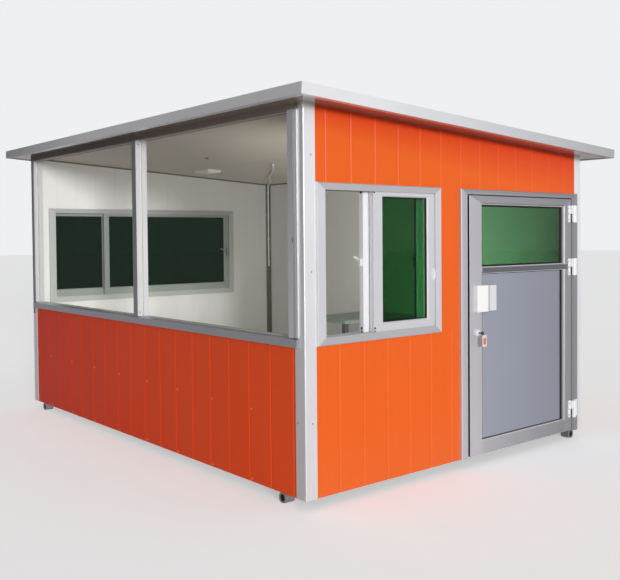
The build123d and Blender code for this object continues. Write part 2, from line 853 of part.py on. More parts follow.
save("floor", floor())
save("feet", *[place * foot_tube(foot_tube_bore) for place in foot_places()])
save("foot_plugs", *[place * foot_plug() for place in foot_places()])
save("front_wall", front_wall())
save("back_wall", back_wall())
save("left_wall_lower", left_wall_lower())
save("left_wall_upper", side_wall_top(-1, left_window_head_level))
save("left_wall_piers", *left_wall_piers())
save("right_wall_lower", right_wall_lower())
save("right_wall_upper", side_wall_top(1, opening_head_level))
save("right_wall_piers", *right_wall_piers())
save("front_corner_trims", corner_trim(-1, -1), corner_trim(1, -1))
save("back_corner_trims", corner_trim(-1, 1), corner_trim(1, 1))
save("inner_corner_trims", inner_corner_trim(-1), inner_corner_trim(1))

save("front_window_sill", front_sill())
save("front_window_head", front_head())
save("front_window_jambs", front_jamb(-1), front_jamb(1))
save("front_window_mullion", front_mullion())
save("front_window_panes", *front_panes())

wall_middle_x = half_width - wall_thickness / 2
right_view = wall_face((wall_middle_x, right_window_front, foot_top + right_window_sill), (0, 1, 0))
right_ring = window_frame(right_window_width, right_window_height)
head, sill, front_bar, rear_bar = mitred_bars(right_ring, right_window_width, right_window_height)
right_clear_end = right_window_width - window_jamb_face + track_fin
fixed_start = right_clear_end - right_fixed_sash_width
fixed_sash, fixed_pane = sash(fixed_start, right_fixed_sash_width, right_window_height, 1,
                              right_front_stile, right_rear_stile, right_bottom_rail)
sliding_start = fixed_start - right_sash_reveal
sliding_sash, sliding_pane = sash(sliding_start, right_sliding_sash_width, right_window_height, -1,
                                  sash_stile, right_meeting_stile, right_bottom_rail)
meeting_edge = sliding_start + right_sliding_sash_width - right_meeting_stile
latch_level = right_window_height / 2
right_latches = [
    latch(sliding_start, sash_stile, latch_level, -1, latch_lever_length, latch_lever_tilt),
    latch(meeting_edge, right_meeting_stile, latch_level, -1, catch_length, latch_lever_tilt),
]
save("right_window_head", right_view.location * head)
save("right_window_sill", right_view.location * sill)
save("right_window_jambs", right_view.location * front_bar, right_view.location * rear_bar)
save("right_window_fixed_sash", right_view.location * fixed_sash)
save("right_window_sliding_sash", right_view.location * sliding_sash)
save("right_window_panes", right_view.location * fixed_pane, right_view.location * sliding_pane)

left_view = wall_face((-wall_middle_x, left_window_rear, foot_top + left_window_sill), (0, -1, 0))
left_clear_start = window_jamb_face - track_fin
left_clear_end = left_window_width - window_jamb_face + track_fin
narrow_start = left_clear_end - left_fixed_sash_width
wide_sash_width = narrow_start + left_meeting_stile - left_clear_start
wide_sash, wide_pane = sash(left_clear_start, wide_sash_width, left_window_height, -1,
                            sash_stile, left_meeting_stile, left_bottom_rail)
narrow_sash, narrow_pane = sash(narrow_start, left_fixed_sash_width, left_window_height, 1,
                                left_meeting_stile, left_front_stile, left_bottom_rail)
left_latch = latch(left_clear_start, sash_stile, left_window_height / 2, 1,
                   latch_lever_length, latch_lever_tilt)
left_ring = window_frame(left_window_width, left_window_height)
head, sill, rear_bar, front_bar = mitred_bars(left_ring, left_window_width, left_window_height)
save("left_window_head", left_view.location * head)
save("left_window_sill", left_view.location * sill)
save("left_window_jambs", left_view.location * rear_bar, left_view.location * front_bar)
save("left_window_sliding_sash", left_view.location * wide_sash)
save("left_window_fixed_sash", left_view.location * narrow_sash)
save("left_window_panes", left_view.location * wide_pane, left_view.location * narrow_pane)
latches = [right_view.location * part for part in right_latches]
save("window_latches", *latches, left_view.location * left_latch)

front_panel, back_panel = roof_panels()
save("roof_panel_front", front_panel)
save("roof_panel_back", back_panel)
save("roof_edge_trim", roof_trim())
save("ceiling_lamp", ceiling_lamp())
save("conduit", conduit())
save("desk_top", desk_top())
save("desk_legs", *desk_legs())

whole_frame = door_frame()
save("door_jambs", *(whole_frame - door_head_part()).solids())
save("door_head", whole_frame & door_head_part())
save("door_threshold", door_threshold())
save("door_frame_hinges", *[hinge_half(level, 1) for level in hinge_levels])
whole_leaf = leaf_frame()
rails = [whole_leaf & part for part in rail_parts()]
stiles = whole_leaf
for part in rail_parts():
    stiles = stiles - part
save("door_leaf_stiles", *stiles.solids())
save("door_leaf_rails", *rails)
save("door_glass", door_glass())
save("door_panel", door_panel())
save("door_hinges", *[hinge_half(level, -1) for level in hinge_levels])
save("door_handle_case", handle_case())
save("door_handle_grip", handle_grip())
save("door_lock", door_lock())
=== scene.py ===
import math
from functools import reduce

import bpy
import numpy as np
from bpy.props import FloatProperty, FloatVectorProperty, IntProperty, PointerProperty
from mathutils import Matrix, Vector


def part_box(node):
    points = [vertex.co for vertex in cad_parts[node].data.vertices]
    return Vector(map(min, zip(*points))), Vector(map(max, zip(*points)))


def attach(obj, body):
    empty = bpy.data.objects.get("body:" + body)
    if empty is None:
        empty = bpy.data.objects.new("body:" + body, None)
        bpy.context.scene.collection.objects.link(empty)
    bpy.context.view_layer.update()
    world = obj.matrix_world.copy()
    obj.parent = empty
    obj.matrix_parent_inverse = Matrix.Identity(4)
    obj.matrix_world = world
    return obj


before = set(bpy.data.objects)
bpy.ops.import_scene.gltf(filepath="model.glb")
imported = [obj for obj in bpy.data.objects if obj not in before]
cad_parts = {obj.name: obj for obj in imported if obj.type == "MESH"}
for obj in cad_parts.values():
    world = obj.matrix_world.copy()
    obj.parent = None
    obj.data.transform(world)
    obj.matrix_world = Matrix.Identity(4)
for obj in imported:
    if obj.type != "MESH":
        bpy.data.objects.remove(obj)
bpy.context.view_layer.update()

bl_info = {
    "name": "Guard booth looks",
    "version": (1, 0, 0),
    "blender": (4, 5, 0),
    "location": "3D View > Sidebar > Booth",
    "description": "Finishes and small fittings of a guard booth around its CAD model",
    "category": "Object",
}

# Main planes of the booth, in metres
WALL_X = 2.17
WALL_Y = 1.5
ROOM_X = 2.12
ROOM_Y = 1.45
WALL_FOOT = 0.065
CEILING_MIDDLE = 2.43
ROOF_SLOPE = 0.17 / 3.0
ROOF_THICKNESS = 0.065
ROOF_RIB_PITCH = 0.33
ROOF_RIB_HEIGHT = 0.02
FRONT_BAR_FACE = -1.525
JAMB_STEP = 2.096
SILL_LEVEL = 0.95
DOOR_FACE = 2.195
LEAF_BACK = 2.145
STOP_FACE = 2.139
FILL_FRONT = 0.18
MID_RAIL = (1.418, 1.46)
LOCK_GAP = 0.024
HINGE_Y = 1.338
HINGE_PLATE = 0.005
GLASS_BITE = 0.01

# Upright joint lines in the wall panels, and those across the ceiling
END_RIB_START = 0.172
END_RIB_PITCH = 0.2385
SIDE_RIB_START = 0.178
LOWER_RIB_START = 0.283
SIDE_RIB_PITCH = 0.215
LOWER_PANEL_TOP = 1.03
CEILING_LINE_PITCH = 0.48
LINE_HALF_WIDTH = 0.009

# Depth of a sheet's paint at a wall's face, and of a fitting in what carries it
SKIN = 0.02
SINK = 0.001

# Height of the seals over the door leaf, and the small screws' radius and height
SEAL_RISE = 0.004
SMALL_SCREW = (0.006, 0.003)
HINGE_SCREW = (0.0065, 0.0016)

SMOOTH_ANGLE = math.radians(40.0)
ALONG_X, ALONG_Y, ALONG_Z = range(3)
X, Y, Z = np.eye(3)


def linear(red, green, blue):
    """Scene-linear colour of display values up to 255: c/12.92 if dark, else ((c+0.055)/1.055)^2.4."""
    parts = np.array((red, green, blue)) / 255.0
    curve = np.where(parts <= 0.04045, parts / 12.92, ((parts + 0.055) / 1.055) ** 2.4)
    return tuple(float(part) for part in curve)


def tint(name, description, default):
    """Property for a colour."""
    return FloatVectorProperty(name=name, description=description, subtype="COLOR", default=default)


def length(name, description, default):
    """Property for a length."""
    return FloatProperty(name=name, description=description, unit="LENGTH", default=default)


class BoothColours(bpy.types.PropertyGroup):
    """Colours of the booth's finishes."""

    wall: tint("Wall paint", "Outer face of the wall panels", linear(243, 104, 35))
    lining: tint("Lining", "Inner face of the wall panels", linear(233, 232, 228))
    ceiling: tint("Ceiling", "Underside of the roof panels", linear(206, 197, 184))
    roof: tint("Roof sheet", "Top of the roof panels", linear(236, 236, 232))
    bright: tint("Bright aluminium", "Corner and roof trims, front uprights", linear(242, 242, 245))
    satin: tint("Satin aluminium", "Bars of the door", linear(222, 220, 226))
    dull: tint("Dull aluminium", "Front sill and threshold", linear(176, 176, 182))
    window_bar: tint("Window bar", "Bars of the sliding windows", linear(222, 222, 226))
    soffit: tint("Soffit", "Bare underside of the roof outside the walls", linear(170, 160, 152))
    door_sheet: tint("Door sheet", "Lower panel of the door", linear(142, 145, 158))
    green_glass: tint("Tinted glass", "Sliding windows and door pane", (0.17, 0.45, 0.22))
    floor_sheet: tint("Floor covering", "Sheet on the booth's floor", linear(150, 152, 150))


class BoothSizes(bpy.types.PropertyGroup):
    """Sizes of the booth's small fittings."""

    screw_radius: length("Screw radius", "Washer of a wall screw", 0.0085)
    screw_height: length("Screw height", "Height of a wall screw's head", 0.005)
    gasket_width: length("Gasket width", "Visible width of a glazing gasket", 0.007)
    gasket_height: length("Gasket height", "Height of a gasket over the glass", 0.005)
    door_gasket_width: length("Door gasket width", "Visible width of the door's gaskets", 0.03)
    round_sides: IntProperty(name="Round sides", description="Sides of a round fitting", default=14)


class BoothStage(bpy.types.PropertyGroup):
    """Floor and light around the booth."""

    ground: tint("Ground", "Colour of the studio floor", (0.78, 0.78, 0.78))
    ground_lift: FloatProperty(
        name="Ground lift", description="Paleness that the camera sees in the floor", default=0.42)
    backdrop: tint("Backdrop", "Colour behind the booth", (0.86, 0.87, 0.88))
    key_strength: FloatProperty(
        name="Key light", description="Strength of the key light", default=2.1)
    fill_strength: FloatProperty(
        name="Fill light", description="Strength of the even light", default=0.36)
    room_strength: FloatProperty(
        name="Room light", description="Power of the soft light in the room", unit="POWER", default=28.0)


# Shapes
def angles(sides):
    """Equal steps round a circle: w(k) = 2 pi k / sides."""
    return np.arange(sides) * 2 * math.pi / sides


def shell(points, wrap_u=False, caps=True):
    """Surface of a grid p(u, v) that runs round along v, and along u if wrapped.

    Quads join neighbours, caps close the end rings, and the faces turn outward, so that the sum of
    a . (b x c) + a . (c x d) over the quads, from the middle, isn't negative."""
    count_u, count_v = points.shape[:2]
    index = np.arange(count_u * count_v).reshape(count_u, count_v)
    if wrap_u:
        index = np.concatenate((index, index[:1]), axis=0)
    index = np.concatenate((index, index[:, :1]), axis=1)
    quads = np.stack((index[:-1, :-1], index[1:, :-1], index[1:, 1:], index[:-1, 1:]), axis=-1)
    quads = quads.reshape(-1, 4)
    flat = points.reshape(-1, 3)
    faces = quads.tolist()
    if caps and not wrap_u:
        faces.append(list(range(count_v))[::-1])
        faces.append(list(range((count_u - 1) * count_v, count_u * count_v)))
    middle = flat.mean(axis=0)
    a, b, c, d = (flat[quads[:, k]] - middle for k in range(4))
    volume = np.einsum("ij,ij->", a, np.cross(b, c)) + np.einsum("ij,ij->", a, np.cross(c, d))
    if volume < 0:
        faces = [face[::-1] for face in faces]
    return flat, faces


def turned(profile, centre, axis, sides):
    """Surface of revolution of a profile of (r, h).

    p(t, w) = centre + r(t)(cos w e1 + sin w e2) + h(t) axis."""
    axis = np.array(axis, float)
    e1 = np.cross(axis, Y if abs(axis[1]) < 0.9 else X)
    e1 = e1 / np.linalg.norm(e1)
    e2 = np.cross(axis, e1)
    profile = np.array(profile, float)
    w = angles(sides)
    round_part = np.cos(w)[:, None] * e1 + np.sin(w)[:, None] * e2
    return centre + profile[:, 0, None, None] * round_part + profile[:, 1, None, None] * axis


def rectangle_loop(centre, u, v, half_u, half_v, outward, profile, share=1.0):
    """Mitred loop of a profile of (a, b); its corner (su, sv) is at
    centre + su(half_u - a)u + sv(half_v - share a)v + b outward."""
    signs = np.array(((-1, -1), (1, -1), (1, 1), (-1, 1)), float)
    a, b = np.array(profile, float).T
    along_u = signs[:, 0, None] * (half_u - a)
    along_v = signs[:, 1, None] * (half_v - share * a)
    return centre + along_u[..., None] * u + along_v[..., None] * v + b[None, :, None] * outward


def pillow(centre, e1, e2, e3, half, power, rings=12, sides=24):
    """Superellipsoid: half-sizes times sgn(c)|c|^power of a sphere's cosines and sines along e1, e2, e3."""
    pole = 0.499
    t = np.linspace(-pole, pole, rings) * math.pi
    w = angles(sides)

    def bent(value):
        return np.sign(value) * np.abs(value) ** power

    across = bent(np.cos(t))[:, None]
    p1 = half[0] * across * bent(np.cos(w))
    p2 = half[1] * across * bent(np.sin(w))
    p3 = half[2] * bent(np.sin(t))[:, None] * np.ones(sides)
    return centre + p1[..., None] * e1 + p2[..., None] * e2 + p3[..., None] * e3


def tube(path, radius, sides, up):
    """Tube: p(s, w) = path(s) + radius(cos w side(s) + sin w top(s)).

    Here side is tangent x up, and top is side x tangent."""
    path = np.array(path, float)
    tangent = np.gradient(path, axis=0)
    tangent = tangent / np.linalg.norm(tangent, axis=1)[:, None]
    side = np.cross(tangent, up)
    side = side / np.linalg.norm(side, axis=1)[:, None]
    top = np.cross(side, tangent)
    w = angles(sides)[:, None, None]
    around = np.cos(w) * side + np.sin(w) * top
    return path[:, None, :] + np.swapaxes(around * radius, 0, 1)


def bar(start, end, e1, e2, profile):
    """Straight bar of a closed profile of (a, b): p(s, k) = start + s(end - start) + a(k) e1 + b(k) e2."""
    profile = np.array(profile, float)
    ends = np.array((start, end), float)
    section = profile[:, 0, None] * np.array(e1, float) + profile[:, 1, None] * np.array(e2, float)
    return ends[:, None, :] + section


def rounded(width, height, radius, steps=4):
    """Outline of a rectangle from 0 to its sizes, with corners (r cos w, r sin w) about each centre."""
    centres = np.array(((width - radius, height - radius), (radius, height - radius),
                        (radius, radius), (width - radius, radius)))
    w = (np.arange(4)[:, None] + np.linspace(0.0, 1.0, steps)) * math.pi / 2
    arcs = centres[:, None, :] + radius * np.stack((np.cos(w), np.sin(w)), axis=-1)
    return arcs.reshape(-1, 2)


def ring(centre, axis, across, big, small, sides=24, round_sides=8):
    """Torus: p(v, w) = centre + (R + r cos w)(cos v across + sin v along) + r sin w axis."""
    along = np.cross(axis, across)
    v = angles(sides)[:, None]
    w = angles(round_sides)
    out = np.cos(v) * across + np.sin(v) * along
    reach = big + small * np.cos(w)
    return centre + reach[None, :, None] * out[:, None, :] + (small * np.sin(w))[None, :, None] * axis


def corners(name):
    """Lowest and highest corners of a CAD node, as arrays."""
    return [np.array(corner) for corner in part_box(name)]


def solid_boxes(name):
    """Lowest and highest corners of each solid of a node: the least label spreads along its edges."""
    merge_digits = 5
    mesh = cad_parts[name].data
    points = np.empty(len(mesh.vertices) * 3)
    mesh.vertices.foreach_get("co", points)
    edges = np.empty(len(mesh.edges) * 2, dtype=np.int64)
    mesh.edges.foreach_get("vertices", edges)
    points = points.reshape(-1, 3).round(merge_digits)
    places, same = np.unique(points, axis=0, return_inverse=True)
    pairs = same.reshape(-1)[edges.reshape(-1, 2)]
    labels = np.arange(len(places))
    settled = False
    while not settled:
        least = np.minimum(labels[pairs[:, 0]], labels[pairs[:, 1]])
        spread = labels.copy()
        np.minimum.at(spread, pairs[:, 0], least)
        np.minimum.at(spread, pairs[:, 1], least)
        settled = bool((spread == labels).all())
        labels = spread
    groups = [places[labels == label] for label in np.unique(labels)]
    return [(group.min(axis=0), group.max(axis=0)) for group in groups]


FINISHES = {}


def make_piece(name, shells, finish, body, smooth=True):
    """One object at the origin from closed shells, riding on a body, with its finish."""
    vertices = []
    faces = []
    start = 0
    for points, shell_faces in shells:
        vertices.append(points)
        faces.extend([[index + start for index in face] for face in shell_faces])
        start += len(points)
    mesh = bpy.data.meshes.new(name)
    mesh.from_pydata(np.concatenate(vertices).tolist(), [], faces)
    mesh.update()
    piece = bpy.data.objects.new(name, mesh)
    bpy.context.scene.collection.objects.link(piece)
    mesh.materials.append(FINISHES[finish])
    if smooth:
        mesh.shade_smooth()
        mesh.set_sharp_from_angle(angle=SMOOTH_ANGLE)
    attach(piece, body)


# Materials
def shaded(colour, share):
    """A colour multiplied by a share."""
    return tuple(part * share for part in colour[:3])


def multiplied(colour, shares):
    """A colour with each of its parts multiplied by a share of its own."""
    return tuple(part * share for part, share in zip(colour[:3], shares))


class Graph:
    """Shader nodes of one tree."""

    def __init__(self, tree):
        self.tree = tree

    def put(self, value, socket):
        """A link, a colour or another value into a socket."""
        if isinstance(value, bpy.types.NodeSocket):
            self.tree.links.new(value, socket)
        elif socket.type == "RGBA":
            socket.default_value = (*value[:3], 1.0)
        else:
            socket.default_value = value

    def fill(self, made, **inputs):
        """Values or links for the named inputs of a node; gives the node."""
        for key, value in inputs.items():
            self.put(value, made.inputs[key.replace("_", " ")])
        return made

    def add(self, kind, **inputs):
        """New node, with values or links for its named inputs."""
        return self.fill(self.tree.nodes.new("ShaderNode" + kind), **inputs)

    def maths(self, operation, first, second=0.0):
        """Math on two values; gives the result."""
        made = self.add("Math")
        made.operation = operation
        self.put(first, made.inputs[0])
        self.put(second, made.inputs[1])
        return made.outputs[0]

    def beyond(self, value, limit):
        """1 where a value is further from 0 than a limit, else 0."""
        return self.maths("GREATER_THAN", self.maths("ABSOLUTE", value), limit)

    def mixed(self, factor, first, second):
        """Mix of two colours by a factor; gives the colour."""
        made = self.add("Mix")
        made.data_type = "RGBA"
        for socket, value in ((0, factor), (6, first), (7, second)):
            self.put(value, made.inputs[socket])
        return made.outputs[2]

    def between(self, factor, first, second):
        """Mix of two numbers by a factor; gives the number."""
        return self.add("Mix", Factor=factor, A=first, B=second).outputs["Result"]

    def ranged(self, value, low, high, start=0.0, end=1.0):
        """A value carried from the range of start to end to that of low to high."""
        made = self.add("MapRange", Value=value, From_Min=start, From_Max=end, To_Min=low, To_Max=high)
        return made.outputs["Result"]


class Coat(Graph):
    """One material, with its main shader and its Object coordinates."""

    def __init__(self, name, metallic=0.0, specular=0.5):
        self.material = bpy.data.materials.new(name)
        self.material.use_nodes = True
        super().__init__(self.material.node_tree)
        self.shader = self.tree.nodes["Principled BSDF"]
        self.fill(self.shader, Metallic=metallic, Specular_IOR_Level=specular)
        self.place = self.add("TexCoord").outputs["Object"]

    def finished(self, **inputs):
        """Values or links for the main shader; gives the material."""
        self.fill(self.shader, **inputs)
        return self.material

    def axes(self):
        """X, Y and Z of the Object coordinates."""
        return tuple(self.add("SeparateXYZ", Vector=self.place).outputs)

    def noise(self, scale, stretch=(1.0, 1.0, 1.0), detail=3.0):
        """Noise on Object coordinates, stretched along the axes; gives its value."""
        moved = self.add("Mapping", Vector=self.place, Scale=stretch).outputs["Vector"]
        return self.add("TexNoise", Vector=moved, Scale=scale, Detail=detail).outputs["Fac"]

    def bump(self, height, strength, distance):
        """Bump from a height into the shader's normal."""
        made = self.add("Bump", Height=height, Strength=strength, Distance=distance)
        self.fill(self.shader, Normal=made.outputs["Normal"])

    def grained(self, scale, low, high, strength, distance):
        """Fine grain in the gloss, from low to high roughness, and in the bump."""
        fine = self.noise(scale, detail=2.0)
        self.fill(self.shader, Roughness=self.ranged(fine, low, high))
        self.bump(fine, strength, distance)

    def worn(self, colour, contrast, rough, grain, strength):
        """Slow tone changes, with a fine grain in gloss and bump; gives the colour."""
        slow = self.noise(1.7, detail=4.0)
        self.grained(grain, rough - 0.06, rough + 0.08, strength, 0.001)
        return self.mixed(slow, shaded(colour, 1.0 - contrast), shaded(colour, 1.0 + contrast))

    def drawn(self, colour, grain, rough, contrast):
        """Lines along one axis in tone, gloss and bump, and slow dull patches; gives the colour."""
        across = 60.0
        lines = self.noise(4.0, [1.0 if axis == grain else across for axis in range(3)], 2.0)
        slow = self.noise(2.6, detail=4.0)
        self.fill(self.shader, Roughness=self.ranged(lines, rough - 0.1, rough + 0.1))
        self.bump(lines, 0.05, 0.0006)
        tone = self.mixed(lines, shaded(colour, 1.0 - contrast), shaded(colour, 1.0 + contrast))
        return self.mixed(self.ranged(slow, 0.0, 0.35), tone, shaded(colour, 0.8))

    def faded(self, tone, colour, fades):
        """A tone that turns along an axis, from start to end, to a share of a colour, for each fade."""
        for axis, start, end, share in fades:
            fade = self.ranged(self.axes()[axis], 0.0, 1.0, start, end)
            tone = self.mixed(fade, tone, shaded(colour, share))
        return tone

    def inside(self, **limits):
        """1 between the limits along the named axes, else 0; an open end is None."""
        places = dict(zip("xyz", self.axes()))
        tests = []
        for axis, (low, high) in limits.items():
            if low is not None:
                tests.append(self.maths("GREATER_THAN", places[axis], low))
            if high is not None:
                tests.append(self.maths("LESS_THAN", places[axis], high))
        return reduce(lambda first, second: self.maths("MULTIPLY", first, second), tests)

    def marked(self, tone, marks):
        """A tone that turns to a colour, by an amount, inside the limits of each mark."""
        for amount, colour, limits in marks:
            tone = self.mixed(self.ranged(self.inside(**limits), 0.0, amount), tone, colour)
        return tone


def paint(name, colour, contrast, rough, grain, strength, specular=0.5, fades=()):
    """Paint, plastic or rubber with slow tone changes and a fine grain, which fades along the axes."""
    coat = Coat(name, specular=specular)
    tone = coat.worn(colour, contrast, rough, grain, strength)
    return coat.finished(Base_Color=coat.faded(tone, colour, fades))


def metal(name, colour, grain, metallic, rough, contrast, fades=(), marks=()):
    """Aluminium or steel with fine lines along one axis, which fades along the axes and has marks."""
    coat = Coat(name, metallic)
    tone = coat.faded(coat.drawn(colour, grain, rough, contrast), colour, fades)
    return coat.finished(Base_Color=coat.marked(tone, marks))


def joint_lines(coat, along, start, pitch):
    """Lines across a sheet: 1 on a line, falling to 0 within its half width.

    The distance from a line is |fract((s - start)/pitch + 1/2) - 1/2| pitches."""
    phase = coat.maths("DIVIDE", coat.maths("SUBTRACT", along, start), pitch)
    saw = coat.maths("FRACT", coat.maths("ADD", phase, 0.5))
    away = coat.maths("ABSOLUTE", coat.maths("SUBTRACT", saw, 0.5))
    return coat.ranged(away, 1.0, 0.0, 0.0, LINE_HALF_WIDTH / pitch)


def wall_lines(coat, x, y, z):
    """Joint lines of all walls, from the start of each wall as seen from outside."""
    along_end = coat.maths("MULTIPLY", coat.maths("MULTIPLY", x, coat.maths("SIGN", y)), -1.0)
    end_lines = joint_lines(coat, along_end, END_RIB_START - WALL_X, END_RIB_PITCH)
    lower = coat.maths("LESS_THAN", z, LOWER_PANEL_TOP)
    shift = coat.maths("MULTIPLY", lower, LOWER_RIB_START - SIDE_RIB_START)
    along_side = coat.maths("MULTIPLY", y, coat.maths("SIGN", x))
    along_side = coat.maths("SUBTRACT", along_side, shift)
    side_lines = joint_lines(coat, along_side, SIDE_RIB_START - WALL_Y, SIDE_RIB_PITCH)
    return coat.between(coat.beyond(x, ROOM_X - SKIN / 2), end_lines, side_lines)


def roof_level(coat, y, z):
    """Height over the slope of the roof, as it is at mid-depth: z + slope y."""
    return coat.maths("ADD", z, coat.maths("MULTIPLY", y, ROOF_SLOPE))


def panel_paint(name, outside, inside):
    """Coil-coated panel with one colour outside the walls and another inside, and lines at its joints.

    The paint is dusty at the foot. Painted shade makes it darker and redder on the front wall, most at
    the end away from the door, and redder under the side eaves, and a painted highlight runs along the
    joint lines outside."""
    coat = Coat(name, specular=0.15)
    x, y, z = coat.axes()
    side = coat.beyond(x, WALL_X - SKIN)
    outer = coat.maths("MAXIMUM", side, coat.beyond(y, WALL_Y - SKIN))
    lines = wall_lines(coat, x, y, z)
    slow = coat.noise(1.1, detail=4.0)
    streaks = coat.noise(3.0, (6.0, 6.0, 0.35))
    tone = coat.mixed(slow, shaded(outside, 0.94), shaded(outside, 1.04))
    tone = coat.mixed(coat.ranged(streaks, 0.0, 0.12), tone, shaded(outside, 0.72))
    # Painted highlight: a paler line along each joint of the outer paint.
    tone = coat.mixed(coat.ranged(lines, 0.0, 0.04), tone, linear(250, 170, 128))
    dust_top = 0.42
    tone = coat.mixed(coat.ranged(z, 0.16, 0.0, WALL_FOOT, dust_top), tone, linear(226, 132, 88))
    # Painted shade: the front wall's paint turns darker and redder, most at the end away from the door.
    far_end_painted_shade = multiplied(outside, (0.64, 0.12, 0.18))
    door_end_painted_shade = multiplied(outside, (1.02, 0.62, 0.8))
    front_painted_shade = coat.mixed(coat.ranged(x, 0.0, 1.0, -WALL_X, WALL_X), far_end_painted_shade, door_end_painted_shade)
    front = coat.maths("LESS_THAN", y, SKIN - WALL_Y)
    tone = coat.mixed(coat.ranged(front, 0.0, 0.9), tone, front_painted_shade)
    # Painted shade: the side walls' paint turns redder and darker just under the eaves, in a taller band
    # towards the back.
    drop = coat.maths("SUBTRACT", CEILING_MIDDLE, roof_level(coat, y, z))
    front_reach, rear_reach = 0.14, 0.4
    reach = coat.ranged(y, front_reach, rear_reach, -WALL_Y, WALL_Y)
    near = coat.ranged(coat.maths("DIVIDE", drop, reach), 0.0, 1.0, 1.0, 0.0)
    eave = coat.maths("MULTIPLY", near, side)
    tone = coat.mixed(coat.ranged(eave, 0.0, 0.95), tone, multiplied(outside, (0.86, 0.36, 0.62)))
    lining = coat.mixed(slow, shaded(inside, 0.95), shaded(inside, 1.03))
    lining = coat.mixed(coat.ranged(lines, 0.0, 0.2), lining, shaded(inside, 0.72))
    coat.grained(55.0, 0.32, 0.44, 0.05, 0.0008)
    return coat.finished(Base_Color=coat.mixed(outer, lining, tone))


def roof_finish(name, top, under, soffit):
    """Roof panel: sheet colour over its middle, ceiling colour in the room with painted shade at the front
    and painted light towards the back, and a bright bare soffit outside the walls, less metallic towards
    the door wall."""
    coat = Coat(name)
    x, y, z = coat.axes()
    over = coat.maths("GREATER_THAN", roof_level(coat, y, z), CEILING_MIDDLE + ROOF_THICKNESS / 2)
    outer = coat.maths("MAXIMUM", coat.beyond(x, WALL_X), coat.beyond(y, WALL_Y))
    eave = coat.maths("MULTIPLY", outer, coat.maths("SUBTRACT", 1.0, over))
    slow = coat.noise(1.6, detail=4.0)
    streaks = coat.noise(2.0, (9.0, 0.5, 1.0))
    sheet = coat.mixed(streaks, shaded(top, 0.86), shaded(top, 1.04))
    # Painted shade and light: the ceiling turns from darker at the front to paler at the back.
    depth = coat.ranged(y, 0.0, 1.0, -WALL_Y, WALL_Y)
    ceiling = coat.mixed(depth, shaded(under, 0.76), shaded(under, 1.45))
    ceiling = coat.mixed(coat.ranged(slow, 0.0, 0.25), ceiling, shaded(under, 0.85))
    joints = joint_lines(coat, y, 0.0, CEILING_LINE_PITCH)
    ceiling = coat.mixed(coat.ranged(joints, 0.0, 0.3), ceiling, shaded(under, 0.6))
    bare = coat.mixed(slow, shaded(soffit, 0.9), shaded(soffit, 1.06))
    colour = coat.mixed(eave, coat.mixed(over, ceiling, sheet), bare)
    far_shine, door_shine = 0.95, 0.55
    shine = coat.maths("MULTIPLY", eave, coat.ranged(x, far_shine, door_shine, -0.6, 2.1))
    fine = coat.noise(70.0, detail=2.0)
    gloss = coat.between(eave, coat.ranged(fine, 0.36, 0.5), coat.ranged(fine, 0.08, 0.14))
    coat.bump(fine, 0.05, 0.0005)
    return coat.finished(Base_Color=colour, Metallic=shine, Roughness=gloss)


def glass(name, colour, specular, tones, gloss, **inputs):
    """Flat glass with faint wipe marks in its tone and gloss, and with other values for its shader."""
    coat = Coat(name, specular=specular)
    slow = coat.noise(2.2, (1.0, 1.0, 0.6), 4.0)
    tone = coat.mixed(slow, shaded(colour, tones[0]), shaded(colour, tones[1]))
    return coat.finished(Base_Color=tone, Roughness=coat.ranged(slow, *gloss), **inputs)


def sheet_floor(name, colour):
    """Floor covering with small flecks and worn patches."""
    coat = Coat(name, specular=0.4)
    tone = coat.worn(colour, 0.08, 0.55, 120.0, 0.08)
    cells = coat.add("TexVoronoi", Vector=coat.place, Scale=140.0).outputs["Distance"]
    fleck = coat.ranged(coat.maths("LESS_THAN", cells, 0.18), 0.0, 0.4)
    return coat.finished(Base_Color=coat.mixed(fleck, tone, shaded(colour, 1.5)))


def laminate(name, colour):
    """Desk board with a fine drawn grain along X."""
    coat = Coat(name, specular=0.4)
    grain = coat.noise(6.0, (0.6, 9.0, 9.0), 4.0)
    tone = coat.mixed(grain, shaded(colour, 0.85), shaded(colour, 1.12))
    coat.bump(grain, 0.05, 0.0006)
    return coat.finished(Base_Color=tone, Roughness=coat.ranged(grain, 0.4, 0.55))


